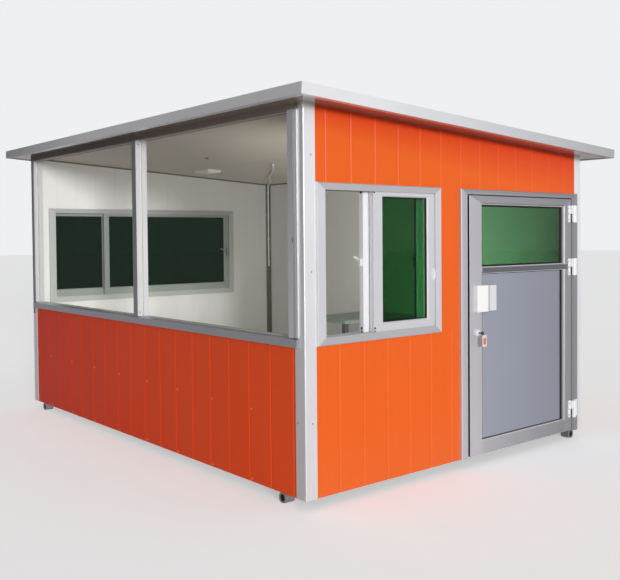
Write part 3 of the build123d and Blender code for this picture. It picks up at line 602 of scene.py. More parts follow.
def make_metals(colours):
    """Metals of the booth, with painted shade: the door's bars darken towards hinges and top, with a dark
    rail under the glass, level bars are darker copies of the uprights, the front uprights, jambs and
    corner trims are darker in front, the left front corner trim carries a painted shadow, the roof's
    edge darkens away from the door's corner, the left window's bars and frame are darker copies, and
    the front window's head has a shade colour that lightens towards the door."""
    bright = colours.bright
    # Painted shade: the door's level bars are a darker copy of the satin colour than its uprights.
    door_upright = shaded(colours.satin, 0.9)
    door_level = shaded(colours.satin, 0.8)
    # Colour, axis of the drawn lines, metallic, roughness, contrast
    looks = {
        "upright_trim": (bright, ALONG_Z, 0.35, 0.34, 0.05),
        "edge_trim": (bright, ALONG_X, 0.4, 0.36, 0.05),
        "inner_trim": (linear(168, 168, 158), ALONG_Z, 0.75, 0.22, 0.1),
        "door_upright": (door_upright, ALONG_Z, 0.4, 0.38, 0.08),
        "door_level": (door_level, ALONG_Y, 0.4, 0.38, 0.08),
        "level_bar": (colours.dull, ALONG_Y, 0.35, 0.42, 0.07),
        "jamb_bar": (bright, ALONG_Z, 0.5, 0.36, 0.03),
        "mullion_bar": (bright, ALONG_Z, 0.5, 0.36, 0.03),
        "front_bar": (colours.dull, ALONG_X, 0.6, 0.36, 0.07),
        # Painted shade: the front window's head has the dark colour of the shade under the eave.
        "shaded_bar": (linear(96, 86, 78), ALONG_X, 0.4, 0.45, 0.07),
        "window_upright": (colours.window_bar, ALONG_Z, 0.3, 0.4, 0.05),
        # Painted shade: the windows' level bars are a darker copy of the window bars' colour.
        "window_level": (shaded(colours.window_bar, 0.72), ALONG_Y, 0.3, 0.42, 0.05),
        "sash_bar": (linear(252, 252, 253), ALONG_Z, 0.1, 0.36, 0.03),
        # Painted shade: the left window's bars and frame are darker copies, seen against the light.
        "inner_bar": (linear(172, 178, 172), ALONG_Y, 0.3, 0.4, 0.07),
        "inner_frame": (linear(200, 203, 199), ALONG_Y, 0.2, 0.4, 0.07),
        "hinge_metal": (linear(250, 250, 251), ALONG_Z, 0.1, 0.3, 0.03),
        "lock_metal": (linear(252, 252, 253), ALONG_X, 0.2, 0.22, 0.03),
        "key_metal": (linear(66, 62, 58), ALONG_Z, 0.4, 0.3, 0.1),
        "screw_zinc": (linear(176, 176, 178), ALONG_Z, 0.85, 0.36, 0.12),
        "foot_steel": (linear(152, 148, 148), ALONG_X, 0.3, 0.45, 0.15),
    }
    # Axis, start and end along it, share of the colour at the end
    # Painted shade towards the door's hinges.
    hinge_side_shade = (ALONG_Y, 0.1, 1.45, 0.46)
    fades = {
        # Painted shade on the front faces of the front corner trims.
        "upright_trim": ((ALONG_Y, -WALL_Y, -WALL_Y - 0.003, 0.76),),
        # Painted shade: the roof's edge trim darkens towards the back and towards the end away from the door.
        "edge_trim": ((ALONG_Y, -1.2, 1.7, 0.5), (ALONG_X, -0.4, -2.3, 0.55)),
        # Painted shade: the door's bars darken towards the top and towards the hinges.
        "door_upright": ((ALONG_Z, 0.2, 2.0, 0.8), hinge_side_shade),
        "door_level": ((ALONG_Z, 0.2, 2.0, 0.62), hinge_side_shade),
        # Painted shade on the mullion's front face.
        "mullion_bar": ((ALONG_Y, FRONT_BAR_FACE + 0.004, FRONT_BAR_FACE + 0.002, 0.33),),
        # Painted light: the head's colour lightens towards the door's corner.
        "shaded_bar": ((ALONG_X, -0.6, 2.1, 2.3),),
    }
    # Amount, colour, limits along the axes
    rail_drop = 0.004
    rail = {"z": tuple(level - rail_drop for level in MID_RAIL), "y": (FILL_FRONT, None)}
    front = (None, FRONT_BAR_FACE + 0.0125)
    step = (JAMB_STEP - 0.0008, JAMB_STEP + 0.0008)
    far_corner_shadow = {"x": (None, -ROOM_X), "y": (None, -WALL_Y), "z": (SILL_LEVEL, None)}
    marks = {
        # Painted shadow on the left front corner trim above the sill.
        "upright_trim": ((1.0, linear(122, 106, 106), far_corner_shadow),),
        "door_upright": ((0.9, shaded(door_upright, 0.22), rail),),
        "door_level": ((0.9, shaded(door_level, 0.22), rail),),
        # Painted shade on the jambs' front faces, darkest on the step and on the left jamb.
        "jamb_bar": ((1.0, shaded(bright, 0.74), {"y": front}),
                     (1.0, shaded(bright, 0.26), {"y": front, "x": step}),
                     (1.0, shaded(bright, 0.26), {"y": front, "x": (None, 0.0)})),
    }
    return {name: metal(name, *look, fades.get(name, ()), marks.get(name, ()))
            for name, look in looks.items()}


def make_paints(colours):
    """Paints, plastics and rubber of the booth, with painted light and shade: the door's sheet is paler
    towards the lock and darker towards the hinges, and the latches are darker in the left wall."""
    # Colour, contrast, roughness, scale and strength of the grain, and specular if it isn't 0.5
    looks = {
        "white_plastic": (linear(253, 253, 251), 0.02, 0.3, 150.0, 0.04),
        "grip_plastic": (linear(226, 226, 228), 0.03, 0.34, 150.0, 0.04),
        # Painted shadow: grey of the seam's shade on the door's grip.
        "seam_shadow_plastic": (linear(176, 176, 179), 0.05, 0.4, 150.0, 0.04),
        "lamp_plastic": (linear(240, 240, 234), 0.02, 0.3, 100.0, 0.03),
        "conduit_plastic": (linear(250, 250, 247), 0.04, 0.42, 120.0, 0.05),
        "tag_plastic": (linear(236, 212, 202), 0.06, 0.3, 60.0, 0.06),
        "tag_card": (linear(188, 122, 98), 0.2, 0.45, 60.0, 0.06),
        "rubber": (linear(26, 26, 27), 0.2, 0.62, 160.0, 0.12, 0.3),
        "clear_seal": (linear(204, 205, 203), 0.06, 0.4, 160.0, 0.06),
        # Painted light: a paler copy of the door sheet's colour, which fades to painted shade towards the
        # hinges.
        "door_sheet": (shaded(colours.door_sheet, 1.22), 0.05, 0.2, 60.0, 0.02),
        "latch_metal": (linear(232, 233, 232), 0.05, 0.36, 120.0, 0.05),
        "screw_paint": (linear(222, 122, 82), 0.1, 0.36, 120.0, 0.05),
        # Dark joint colour with painted shade, for the strips along the ceiling's edges.
        "joint_shade_coving": (linear(126, 118, 106), 0.1, 0.5, 90.0, 0.05),
        "desk_steel": (linear(92, 94, 96), 0.06, 0.42, 140.0, 0.06),
    }
    # Axis, start and end along it, share of the colour at the end
    fades = {
        # Painted light and shade across the door's sheet, and painted shade on the latches in the left wall.
        "door_sheet": ((ALONG_Y, 0.15, 1.2, 0.92 / 1.22),),
        "latch_metal": ((ALONG_X, 0.5, -0.5, 0.35),),
    }
    return {name: paint(name, *look, fades=fades.get(name, ())) for name, look in looks.items()}


def make_glass(colours):
    """A thin clear film that lets nearly all light through, and glass with a body tint, whose share
    differs by window as painted light and shade, darkest in the left wall.
    """
    panes = {"clear_glass": glass("clear_glass", (0.8, 0.88, 0.86), 0.6, (0.82, 1.16), (0.02, 0.07),
                                  Alpha=0.01)}
    # Share of the tint, and refractive index
    # Painted shade: the left wall's glass has a far darker share of the one tint, and the door's glass a
    # paler one.
    looks = {"green_glass": (0.85, 1.22), "left_glass_shade": (0.04, 1.06), "door_glass": (1.05, 1.2)}
    for name, (share, bend) in looks.items():
        panes[name] = glass(name, shaded(colours.green_glass, share), 0.3, (0.85, 1.15), (0.0, 0.05),
                            Transmission_Weight=1.0, IOR=bend)
    return panes


NODE_FINISHES = {
    "walls": ("front_wall", "back_wall", "left_wall_lower", "left_wall_upper", "left_wall_piers",
              "right_wall_lower", "right_wall_upper", "right_wall_piers"),
    "roof": ("roof_panel_front", "roof_panel_back"),
    "floor": ("floor",),
    "upright_trim": ("front_corner_trims", "back_corner_trims"),
    "inner_trim": ("inner_corner_trims",),
    "edge_trim": ("roof_edge_trim",),
    "jamb_bar": ("front_window_jambs",),
    "mullion_bar": ("front_window_mullion",),
    "inner_bar": ("left_window_sliding_sash", "left_window_fixed_sash"),
    "inner_frame": ("left_window_sill", "left_window_jambs"),
    "level_bar": ("door_threshold",),
    "door_upright": ("door_jambs", "door_leaf_stiles"),
    "door_level": ("door_head", "door_leaf_rails"),
    "window_upright": ("right_window_jambs", "right_window_fixed_sash"),
    "window_level": ("right_window_head", "right_window_sill", "left_window_head"),
    "sash_bar": ("right_window_sliding_sash",),
    "front_bar": ("front_window_sill",),
    "shaded_bar": ("front_window_head",),
    "clear_glass": ("front_window_panes",),
    "green_glass": ("right_window_panes",),
    "left_glass_shade": ("left_window_panes",),
    "door_glass": ("door_glass",),
    "door_sheet": ("door_panel",),
    "hinge_metal": ("door_frame_hinges", "door_hinges"),
    "white_plastic": ("door_handle_case",),
    "grip_plastic": ("door_handle_grip",),
    "lock_metal": ("door_lock",),
    "latch_metal": ("window_latches",),
    "foot_steel": ("feet",),
    "rubber": ("foot_plugs",),
    "lamp_plastic": ("ceiling_lamp",),
    "conduit_plastic": ("conduit",),
    "desk_board": ("desk_top",),
    "desk_steel": ("desk_legs",),
}


class BOOTH_OT_finishes(bpy.types.Operator):
    """Make the finishes and give one to each CAD node"""

    bl_idname = "booth.finishes"
    bl_label = "Finishes"

    def execute(self, context):
        colours = context.scene.booth_colours
        FINISHES.update({
            "walls": panel_paint("walls", colours.wall, colours.lining),
            "roof": roof_finish("roof", colours.roof, colours.ceiling, colours.soffit),
            "floor": sheet_floor("floor_covering", colours.floor_sheet),
            "desk_board": laminate("desk_board", linear(142, 154, 148)),
            **make_metals(colours),
            **make_paints(colours),
            **make_glass(colours),
        })
        for finish, names in NODE_FINISHES.items():
            for name in names:
                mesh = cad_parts[name].data
                mesh.materials.clear()
                mesh.materials.append(FINISHES[finish])
        missing = set(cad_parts) - {name for names in NODE_FINISHES.values() for name in names}
        if missing:
            raise RuntimeError("nodes without a finish: " + ", ".join(sorted(missing)))
        return {"FINISHED"}


class BOOTH_OT_gaskets(bpy.types.Operator):
    """Put a gasket around both faces of each pane and of the door's panel"""

    bl_idname = "booth.gaskets"
    bl_label = "Gaskets"

    def execute(self, context):
        sizes = context.scene.booth_sizes
        narrow = sizes.gasket_width
        wide = sizes.door_gasket_width
        # Node, width, share of the width on the level runs, finish, body
        rows = (("front_window_panes", 0.5 * narrow, 1.0, "clear_seal", "booth"),
                ("right_window_panes", narrow, 1.0, "rubber", "booth"),
                ("left_window_panes", narrow, 1.0, "rubber", "booth"),
                ("door_glass", wide, 0.6, "rubber", "door"),
                ("door_panel", wide, 0.35, "rubber", "door"))
        for name, width, share, finish, body in rows:
            shells = self.around(name, width, sizes.gasket_height, share)
            make_piece(name + "_gaskets", shells, finish, body)
        return {"FINISHED"}

    def around(self, name, width, height, share):
        """Mitred loops along the glass: from the bar at a = 0 to the gasket's lip at its width."""
        profile = ((-SINK, -SINK), (width, -SINK), (0.9 * width, 0.5 * height), (0.5 * width, height),
                   (-SINK, height))
        shells = []
        for low, high in solid_boxes(name):
            centre = (low + high) / 2
            half = (high - low) / 2
            thin = int(np.argmin(half))
            u, v = [axis for k, axis in enumerate((X, Y, Z)) if k != thin]
            half_u, half_v = [size - GLASS_BITE for k, size in enumerate(half) if k != thin]
            for side in (-1.0, 1.0):
                outward = side * (X, Y, Z)[thin]
                face = centre + half[thin] * outward
                loop = rectangle_loop(face, u, v, half_u, half_v, outward, profile, share)
                shells.append(shell(loop, wrap_u=True))
        return shells


class BOOTH_OT_door_trim(bpy.types.Operator):
    """Put glazing beads and a dark edge strip, as painted shade, on the door leaf, and seals in its frame"""

    bl_idname = "booth.door_trim"
    bl_label = "Door beads and seals"

    def execute(self, context):
        low, high = corners("door_leaf_stiles")
        foot = low[2]
        top = high[2] + SEAL_RISE
        self.beads()
        self.seals(low[1], high[1], foot, top)
        self.edge_shade_strip(low[1], foot, top)
        return {"FINISHED"}

    def beads(self):
        """Bright beads that hold glass and panel, with a sloping inner face."""
        profile = ((-SINK, 0.004), (0.0045, 0.004), (0.004, 0.0185), (-SINK, 0.019))
        shells = []
        for name in ("door_glass", "door_panel"):
            low, high = corners(name)
            centre = (low + high) / 2
            centre[0] = high[0]
            half = (high - low) / 2 - GLASS_BITE
            loop = rectangle_loop(centre, Y, Z, half[1], half[2], X, profile)
            shells.append(shell(loop, wrap_u=True))
        make_piece("door_beads", shells, "window_upright", "door", smooth=False)

    def seals(self, leaf_front, leaf_rear, foot, top):
        """Rubber lobe in the gap at the lock side, and a flat strip on three sides of the stop."""
        rebate = leaf_front - LOCK_GAP - SINK
        lobe = rounded(0.042, 0.016, 0.006)
        strip = rounded(0.0022, 0.01, 0.0008)
        front = leaf_front + 0.002
        rear = leaf_rear - 0.012
        back = STOP_FACE - 0.0004
        side_top = top - 0.02
        level = top - 0.017
        runs = (bar((STOP_FACE, rebate, foot), (STOP_FACE, rebate, top), X, Y, lobe),
                bar((back, front, foot), (back, front, side_top), X, Y, strip),
                bar((back, rear, foot), (back, rear, side_top), X, Y, strip),
                bar((back, front, level), (back, rear, level), X, Z, strip))
        make_piece("door_seals", [shell(run) for run in runs], "rubber", "booth")

    def edge_shade_strip(self, leaf_front, foot, top):
        """Rubber strip up the lock edge of the leaf: a dark sheet that puts the gap's shade onto the leaf's
        edge.
        """
        inset = 0.003
        start = np.array((LEAF_BACK + inset, leaf_front - 0.0018, foot + inset))
        cover = bar(start, start + (top - foot - 0.012) * Z, X, Y, rounded(0.043, 0.003, 0.001))
        make_piece("door_edge_shade_strip", [shell(cover)], "rubber", "door")


def screw_head(place, outward, radius, height, sides):
    """Round head on a washer."""
    profile = ((radius, -SINK), (radius, 0.2 * height), (0.72 * radius, 0.36 * height),
               (0.66 * radius, 0.8 * height), (0.4 * radius, height), (0.02 * radius, 1.02 * height))
    return shell(turned(profile, np.array(place, float), outward, sides))


def make_screws(name, heads, size, sides, finish="screw_zinc", body="booth"):
    """One piece of like screws, of a radius and a height, for heads of (place, outward)."""
    shells = [screw_head(place, outward, *size, sides) for place, outward in heads]
    make_piece(name, shells, finish, body)


class BOOTH_OT_screws(bpy.types.Operator):
    """Set the screws of walls, corner trims, roof, mullion and hinges, and a plate on a jamb"""

    bl_idname = "booth.screws"
    bl_label = "Screws"

    def execute(self, context):
        sizes = context.scene.booth_sizes
        size = (sizes.screw_radius, sizes.screw_height)
        sides = sizes.round_sides
        self.wall_screws(size, sides)
        self.trim_screws(sides)
        self.roof_screws(size, sides)
        self.mullion_screws(sides)
        self.jamb_plate()
        self.hinge_screws(sides)
        return {"FINISHED"}

    def wall_screws(self, size, sides):
        """Painted screws in two rows, beside each second joint line of the lower panels."""
        beside = 0.02
        first_end = -WALL_X + END_RIB_START + END_RIB_PITCH + beside
        end_row = first_end + 2 * END_RIB_PITCH * np.arange(8)
        side_row = -WALL_Y + LOWER_RIB_START + 2 * SIDE_RIB_PITCH * np.arange(6)
        door_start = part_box("door_jambs")[0][1]
        heads = []
        for level in (0.084, 0.554):
            for x in end_row:
                heads.append(((x, -WALL_Y, level), -Y))
                heads.append(((-x, WALL_Y, level), Y))
            for y in side_row:
                if y < door_start:
                    heads.append(((WALL_X, y, level), X))
                heads.append(((-WALL_X, -y, level), -X))
        make_screws("wall_screws", heads, size, sides, "screw_paint")

    def trim_screws(self, sides):
        """Small screws in the legs of the corner trims, where no frame stands on them."""
        low, high = corners("front_corner_trims")
        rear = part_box("back_corner_trims")[1][1]
        end_leg = WALL_X - 0.07
        side_leg = WALL_Y - 0.055
        levels = (0.54, 1.48, 2.2)
        heads = [((side * end_leg, low[1], levels[0]), -Y) for side in (-1, 1)]
        for level in levels:
            heads += [((side * high[0], -side_leg, level), side * X) for side in (-1, 1)]
            heads += [((side * end_leg, rear, level), Y) for side in (-1, 1)]
            heads.append(((low[0], side_leg, level), -X))
        make_screws("trim_screws", heads, SMALL_SCREW, sides)

    def roof_screws(self, size, sides):
        """Screws along the top of each roof rib."""
        up = np.array((0.0, ROOF_SLOPE, 1.0))
        up = up / np.linalg.norm(up)
        over = CEILING_MIDDLE + (ROOF_THICKNESS + ROOF_RIB_HEIGHT) / up[2]
        heads = [((x, y, over - ROOF_SLOPE * y), up)
                 for x in ROOF_RIB_PITCH * np.arange(-6, 7)
                 for y in (-1.25, -0.6, 0.65, 1.3)]
        make_screws("roof_screws", heads, size, sides)

    def mullion_screws(self, sides):
        """Small screws at the head and foot of the front mullion, on its face and its door side."""
        low, high = corners("front_window_mullion")
        middle = (low[0] + high[0]) / 2
        inset = 0.03
        side_inset = 0.022
        heads = []
        for level in (low[2] + inset, high[2] - inset):
            heads.append(((middle, low[1], level), -Y))
            heads.append(((high[0], low[1] + side_inset, level), X))
        make_screws("mullion_screws", heads, SMALL_SCREW, sides)

    def jamb_plate(self):
        """Small plate with round corners on the right front jamb."""
        start = np.array((2.085, FRONT_BAR_FACE + 0.0005, 1.66))
        plate = bar(start, start - 0.002 * Y, X, Z, rounded(0.007, 0.032, 0.003))
        make_piece("jamb_plate", [shell(plate)], "desk_steel", "booth")

    def hinge_screws(self, sides):
        """Three flat screws in each hinge plate."""
        pitch = 0.046
        for name, body, shift in (("door_hinges", "door", -0.044), ("door_frame_hinges", "booth", 0.052)):
            heads = []
            for low, high in solid_boxes(name):
                level = (low[2] + high[2]) / 2
                for step in (-pitch, 0.0, pitch):
                    heads.append(((DOOR_FACE + HINGE_PLATE, HINGE_Y + shift, level + step), X))
            make_screws(name + "_screws", heads, HINGE_SCREW, sides, body=body)


class BOOTH_OT_window_fittings(bpy.types.Operator):
    """Fit the oval pull, the end caps and the latch boss of the right window"""

    bl_idname = "booth.window_fittings"
    bl_label = "Window fittings"

    def execute(self, context):
        fixed_low, fixed_high = corners("right_window_fixed_sash")
        low, high = corners("right_window_sliding_sash")
        self.pull(np.array((fixed_high[0], fixed_high[1] - 0.045, 1.43)))
        middle = (low[0] + high[0]) / 2
        end_radius, face_radius, height, sides = 0.009, 0.008, 0.0025, 12
        caps = []
        for level in (low[2] + 0.03, low[2] + 0.055, high[2] - 0.03):
            caps.append(screw_head((middle, low[1], level), -Y, end_radius, height, sides))
            place = (fixed_high[0], fixed_low[1] + 0.012, level)
            caps.append(screw_head(place, X, face_radius, height, sides))
        make_piece("sash_caps", caps, "rubber", "booth")
        start = np.array((low[0] + 0.003, low[1] + SINK, 1.5))
        boss = bar(start, start - 0.02 * Y, X, Z, rounded(0.024, 0.05, 0.005))
        make_piece("latch_boss", [shell(boss)], "latch_metal", "booth")
        return {"FINISHED"}

    def pull(self, centre):
        """Dished oval: p(k, w) = centre + (1 - inset(k))(a cos w Y + b sin w Z) + rise(k) X."""
        steps = np.array(((0.0, -SINK), (0.0, 0.003), (0.12, 0.0055), (0.3, 0.005), (0.42, 0.0022),
                          (0.98, 0.0015)))
        half_width, half_height = 0.019, 0.046
        w = angles(32)
        oval = np.stack((half_width * np.cos(w), half_height * np.sin(w)), axis=-1)
        inset = steps[:, 0, None, None]
        rise = steps[:, 1, None, None]
        grid = (1.0 - inset) * oval
        points = centre + grid[..., :1] * Y + grid[..., 1:] * Z + rise * X
        make_piece("window_pull", [shell(points)], "grip_plastic", "booth")


class BOOTH_OT_key(bpy.types.Operator):
    """Hang a key with a ring and a bare tag in the door lock, and mark the seam of the grip with a painted
    shadow
    """

    bl_idname = "booth.key"
    bl_label = "Key and tag"

    def execute(self, context):
        low, high = corners("door_lock")
        core = (low + high) / 2
        core[0] = high[0]
        thick, tall = 0.003, 0.009
        section = rounded(thick, tall, 0.001) - (thick / 2, tall / 2)
        blade = bar(core - 0.004 * X, core + 0.022 * X, Y, Z, section)
        bow_centre = core + 0.033 * X
        bow = pillow(bow_centre, X, Z, Y, (0.014, 0.013, 0.003), 0.75)
        make_piece("door_key", [shell(blade), shell(bow)], "key_metal", "door")
        ring_centre = bow_centre + 0.004 * X - 0.01 * Z
        ring_radius, wire_radius = 0.01, 0.0013
        loop = ring(ring_centre, X, Z, ring_radius, wire_radius)
        make_piece("key_ring", [shell(loop, wrap_u=True)], "screw_zinc", "door")
        self.tag(ring_centre - 0.006 * Y - 0.09 * Z)
        self.grip_seam_shadow()
        return {"FINISHED"}

    def tag(self, corner):
        """Flat holder with round corners, and a smaller bare card in its face."""
        half = 0.002
        holder = bar(corner - half * X, corner + half * X, Y, Z, rounded(0.05, 0.086, 0.012))
        make_piece("key_tag", [shell(holder)], "tag_plastic", "door")
        outline = rounded(0.028, 0.046, 0.006) + (0.012, 0.018)
        card = bar(corner + 0.001 * X, corner + 0.0028 * X, Y, Z, outline)
        make_piece("key_tag_card", [shell(card)], "tag_card", "door")

    def grip_seam_shadow(self):
        """Grey strip up the face of the door's grip, where its seam is: painted shadow of the seam."""
        low, high = corners("door_handle_grip")
        inset = 0.004
        start = np.array((high[0] - SINK, high[1] - 0.098, low[2] + inset))
        rise = high[2] - low[2] - 2 * inset
        line = bar(start, start + rise * Z, X, Y, rounded(0.0018, 0.014, 0.0006))
        make_piece("grip_seam_shadow", [shell(line)], "seam_shadow_plastic", "door")


def on_ceiling(x, y):
    """Point on the ceiling: z = middle - slope y."""
    return np.array((x, y, CEILING_MIDDLE - ROOF_SLOPE * y))


class BOOTH_OT_room_fittings(bpy.types.Operator):
    """Fit the ceiling's strips and stud, the lamp's cover, conduit clips and the inner door handle"""

    bl_idname = "booth.room_fittings"
    bl_label = "Room fittings"

    def execute(self, context):
        self.joint_shade_coving()
        self.lamp_cover()
        self.ceiling_stud()
        self.clips()
        self.inner_handle()
        return {"FINISHED"}

    def joint_shade_coving(self):
        """Dark strips between the ceiling and the side and back walls, in the joint's colour with painted
        shade.
        """
        size = 0.014
        profile = ((0.0, 0.0), (size, 0.0), (0.5 * size, -0.5 * size), (0.0, -size))
        front = -WALL_Y + 0.09
        runs = [bar(on_ceiling(side * ROOM_X, front), on_ceiling(side * ROOM_X, ROOM_Y), -side * X, Z,
                    profile) for side in (-1.0, 1.0)]
        runs.append(bar(on_ceiling(-ROOM_X, ROOM_Y), on_ceiling(ROOM_X, ROOM_Y), -Y, Z, profile))
        shells = [shell(run) for run in runs]
        make_piece("ceiling_strips", shells, "joint_shade_coving", "booth", smooth=False)

    def lamp_cover(self):
        """Curved opal cover under the lamp."""
        low, high = corners("ceiling_lamp")
        half = (high - low) / 2
        centre = (low + high) / 2 - (half[2] - 0.004) * Z
        cover = pillow(centre, X, Y, Z, (0.86 * half[0], 0.8 * half[1], 0.009), 0.35)
        make_piece("lamp_cover", [shell(cover)], "lamp_plastic", "booth")

    def ceiling_stud(self):
        """Small dark stud on the ceiling, nearer the front than the lamp."""
        profile = ((0.018, -0.004), (0.018, 0.002), (0.015, 0.007), (0.008, 0.01), (0.0005, 0.011))
        stud = turned(profile, on_ceiling(-0.592, -0.419), -Z, 24)
        make_piece("ceiling_rose", [shell(stud)], "desk_steel", "booth")

    def clips(self):
        """Clips around the upright run of the conduit."""
        low, high = corners("conduit")
        axis_inset = 0.014
        foot = np.array((low[0] + axis_inset, high[1] - axis_inset, low[2]))
        inner, outer, half = 0.0095, 0.0125, 0.008
        profile = ((inner, -half), (outer, -half), (outer, half), (inner, half))
        shells = [shell(turned(profile, foot + rise * Z, Z, 20), wrap_u=True)
                  for rise in (0.06, 0.34, 0.62, 0.9)]
        make_piece("conduit_clips", shells, "conduit_plastic", "booth")

    def inner_handle(self):
        """Plate and lever on the room side of the lock stile: the lever's path goes in, then along."""
        low, high = corners("door_lock")
        case_low, case_high = corners("door_handle_case")
        level = (case_low[2] + case_high[2]) / 2
        middle = (low[1] + high[1]) / 2
        width, height = 0.034, 0.2
        start = np.array((LEAF_BACK + SINK, middle - width / 2, level - height / 2))
        plate = bar(start, start - 0.009 * X, Y, Z, rounded(width, height, 0.006))
        t = np.linspace(0.0, 1.0, 14)
        reach = 0.045 * np.minimum(1.0, 3.0 * t)
        along = 0.12 * np.clip((t - 0.28) / 0.72, 0.0, 1.0)
        path = np.stack((LEAF_BACK - 0.004 - reach, middle + along, np.full(len(t), level + 0.03)), axis=-1)
        lever = tube(path, 0.009, 12, Z)
        make_piece("inner_door_handle", [shell(plate), shell(lever)], "window_upright", "door")


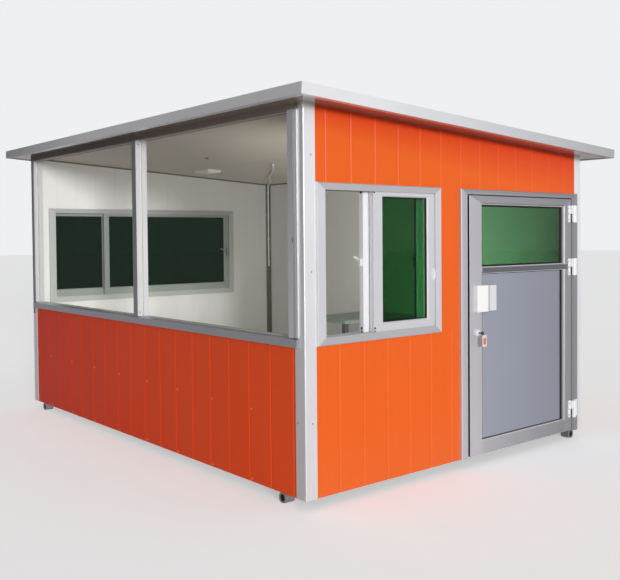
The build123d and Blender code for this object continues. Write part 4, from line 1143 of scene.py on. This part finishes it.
class BOOTH_OT_stage(bpy.types.Operator):
    """Lay the studio floor, set the light and place the camera"""

    bl_idname = "booth.stage"
    bl_label = "Stage"

    def execute(self, context):
        scene = context.scene
        look = scene.booth_stage
        scene.view_settings.view_transform = "Standard"
        self.lay_floor(scene, look)
        self.set_world(scene, look)
        self.set_lamps(scene, look)
        self.place_camera(scene)
        return {"FINISHED"}

    def lay_floor(self, scene, look):
        """Round floor a little under the feet: rings p(r, w) = (r cos w, r sin w, -drop)."""
        drop = 0.001
        radii = np.array((0.001, 6.0, 20.0, 90.0))[:, None]
        w = angles(64)
        depth = np.full((len(radii), len(w)), -drop)
        points, faces = shell(np.stack((radii * np.cos(w), radii * np.sin(w), depth), axis=-1), caps=False)
        mesh = bpy.data.meshes.new("studio_floor")
        mesh.from_pydata(points.tolist(), [], faces)
        floor = bpy.data.objects.new("studio_floor", mesh)
        scene.collection.objects.link(floor)
        coat = Coat("studio_floor", specular=0.1)
        mirror_share = 0.2
        path = coat.add("LightPath").outputs
        mirrored = coat.maths("MULTIPLY", path["Is Glossy Ray"], mirror_share)
        through = coat.maths("MAXIMUM", mirrored, path["Is Transmission Ray"])
        seen = coat.maths("MAXIMUM", path["Is Camera Ray"], through)
        lift = coat.maths("MULTIPLY", seen, look.ground_lift)
        mesh.materials.append(coat.finished(Base_Color=look.ground, Roughness=0.9,
                                            Emission_Color=(1.0, 1.0, 1.0), Emission_Strength=lift))

    def set_world(self, scene, look):
        """Even light, stronger from the side of the door and the back; a pale backdrop for the camera."""
        world = bpy.data.worlds.new("studio")
        scene.world = world
        world.use_nodes = True
        graph = Graph(world.node_tree)
        towards = graph.add("VectorMath")
        towards.operation = "DOT_PRODUCT"
        graph.put(graph.add("TexCoord").outputs["Generated"], towards.inputs[0])
        graph.put((math.sqrt(0.5), math.sqrt(0.5), 0.0), towards.inputs[1])
        side = graph.ranged(towards.outputs["Value"], 0.0, 1.0, -1.0, 1.0)
        level = look.fill_strength
        weak, strong = 0.8 * level, 1.2 * level
        fill = graph.fill(world.node_tree.nodes["Background"], Color=(0.97, 0.98, 1.0),
                          Strength=graph.ranged(side, weak, strong))
        mirror = graph.add("Background", Color=look.backdrop, Strength=graph.ranged(side, 0.04, 1.0))
        shown = graph.add("Background", Color=look.backdrop, Strength=1.0)
        path = graph.add("LightPath").outputs
        seen = graph.maths("MAXIMUM", path["Is Camera Ray"], path["Is Transmission Ray"])
        light = fill
        for factor, other in ((path["Is Glossy Ray"], mirror), (seen, shown)):
            blend = graph.add("MixShader")
            for socket, value in zip(blend.inputs, (factor, light.outputs[0], other.outputs[0])):
                graph.put(value, socket)
            light = blend
        graph.put(light.outputs[0], world.node_tree.nodes["World Output"].inputs["Surface"])

    def set_lamps(self, scene, look):
        """A soft key light from the door side, very low, and a wide soft lamp in the room."""
        lamp = bpy.data.lights.new("key", "SUN")
        lamp.energy = look.key_strength
        lamp.angle = math.radians(10.0)
        key = bpy.data.objects.new("key", lamp)
        key.rotation_euler = Vector((-0.88, 0.34, -0.12)).to_track_quat("-Z", "Y").to_euler()
        scene.collection.objects.link(key)
        glow = bpy.data.lights.new("room_light", "AREA")
        glow.shape = "RECTANGLE"
        glow.size = 1.6
        glow.size_y = 1.0
        glow.energy = look.room_strength
        glow.color = (1.0, 0.985, 0.965)
        room = bpy.data.objects.new("room_light", glow)
        room.location = (1.8, -0.2, 1.3)
        room.rotation_euler = Vector((-1.0, 0.1, 0.0)).to_track_quat("-Z", "Z").to_euler()
        room.visible_camera = False
        room.visible_glossy = False
        room.visible_transmission = False
        scene.collection.objects.link(room)

    def place_camera(self, scene):
        """Camera at eye height off the front right corner, level but for a slight pitch and roll."""
        yaw = 0.8780643
        pitch = -0.0270785
        roll = -0.0084701
        focus_px = 829.3965
        image_px = (620, 580)
        centre_px = (310, 260)
        place = (6.0920585, -4.7082817, 1.6270474 + WALL_FOOT)
        forward = Vector((-math.sin(yaw) * math.cos(pitch), math.cos(yaw) * math.cos(pitch), math.sin(pitch)))
        level = Vector((math.cos(yaw), math.sin(yaw), 0.0))
        above = level.cross(forward)
        right = level * math.cos(roll) + above * math.sin(roll)
        up = above * math.cos(roll) - level * math.sin(roll)
        view = bpy.data.cameras.new("camera")
        view.sensor_fit = "HORIZONTAL"
        view.sensor_width = 36.0
        view.lens = focus_px / image_px[0] * view.sensor_width
        view.shift_x = (image_px[0] / 2 - centre_px[0]) / image_px[0]
        view.shift_y = (centre_px[1] - image_px[1] / 2) / image_px[0]
        view.clip_end = 300.0
        camera = bpy.data.objects.new("camera", view)
        turn = Matrix((right, up, -forward)).transposed().to_4x4()
        camera.matrix_world = Matrix.Translation(place) @ turn
        scene.collection.objects.link(camera)
        scene.camera = camera


GROUPS = {"booth_colours": BoothColours, "booth_sizes": BoothSizes, "booth_stage": BoothStage}
OPERATORS = (
    BOOTH_OT_finishes,
    BOOTH_OT_gaskets,
    BOOTH_OT_door_trim,
    BOOTH_OT_screws,
    BOOTH_OT_window_fittings,
    BOOTH_OT_key,
    BOOTH_OT_room_fittings,
    BOOTH_OT_stage,
)


class BOOTH_PT_steps(bpy.types.Panel):
    """Steps that dress the booth"""

    bl_idname = "BOOTH_PT_steps"
    bl_label = "Guard booth"
    bl_space_type = "VIEW_3D"
    bl_region_type = "UI"
    bl_category = "Booth"

    def draw(self, context):
        for kind in OPERATORS:
            self.layout.operator(kind.bl_idname)


CLASSES = (*GROUPS.values(), *OPERATORS, BOOTH_PT_steps)


def register():
    for kind in CLASSES:
        bpy.utils.register_class(kind)
    for name, kind in GROUPS.items():
        setattr(bpy.types.Scene, name, PointerProperty(type=kind))


def unregister():
    for name in GROUPS:
        delattr(bpy.types.Scene, name)
    for kind in reversed(CLASSES):
        bpy.utils.unregister_class(kind)


def main():
    register()
    for kind in OPERATORS:
        group, name = kind.bl_idname.split(".")
        getattr(getattr(bpy.ops, group), name)()


if __name__ == "__main__":
    main()
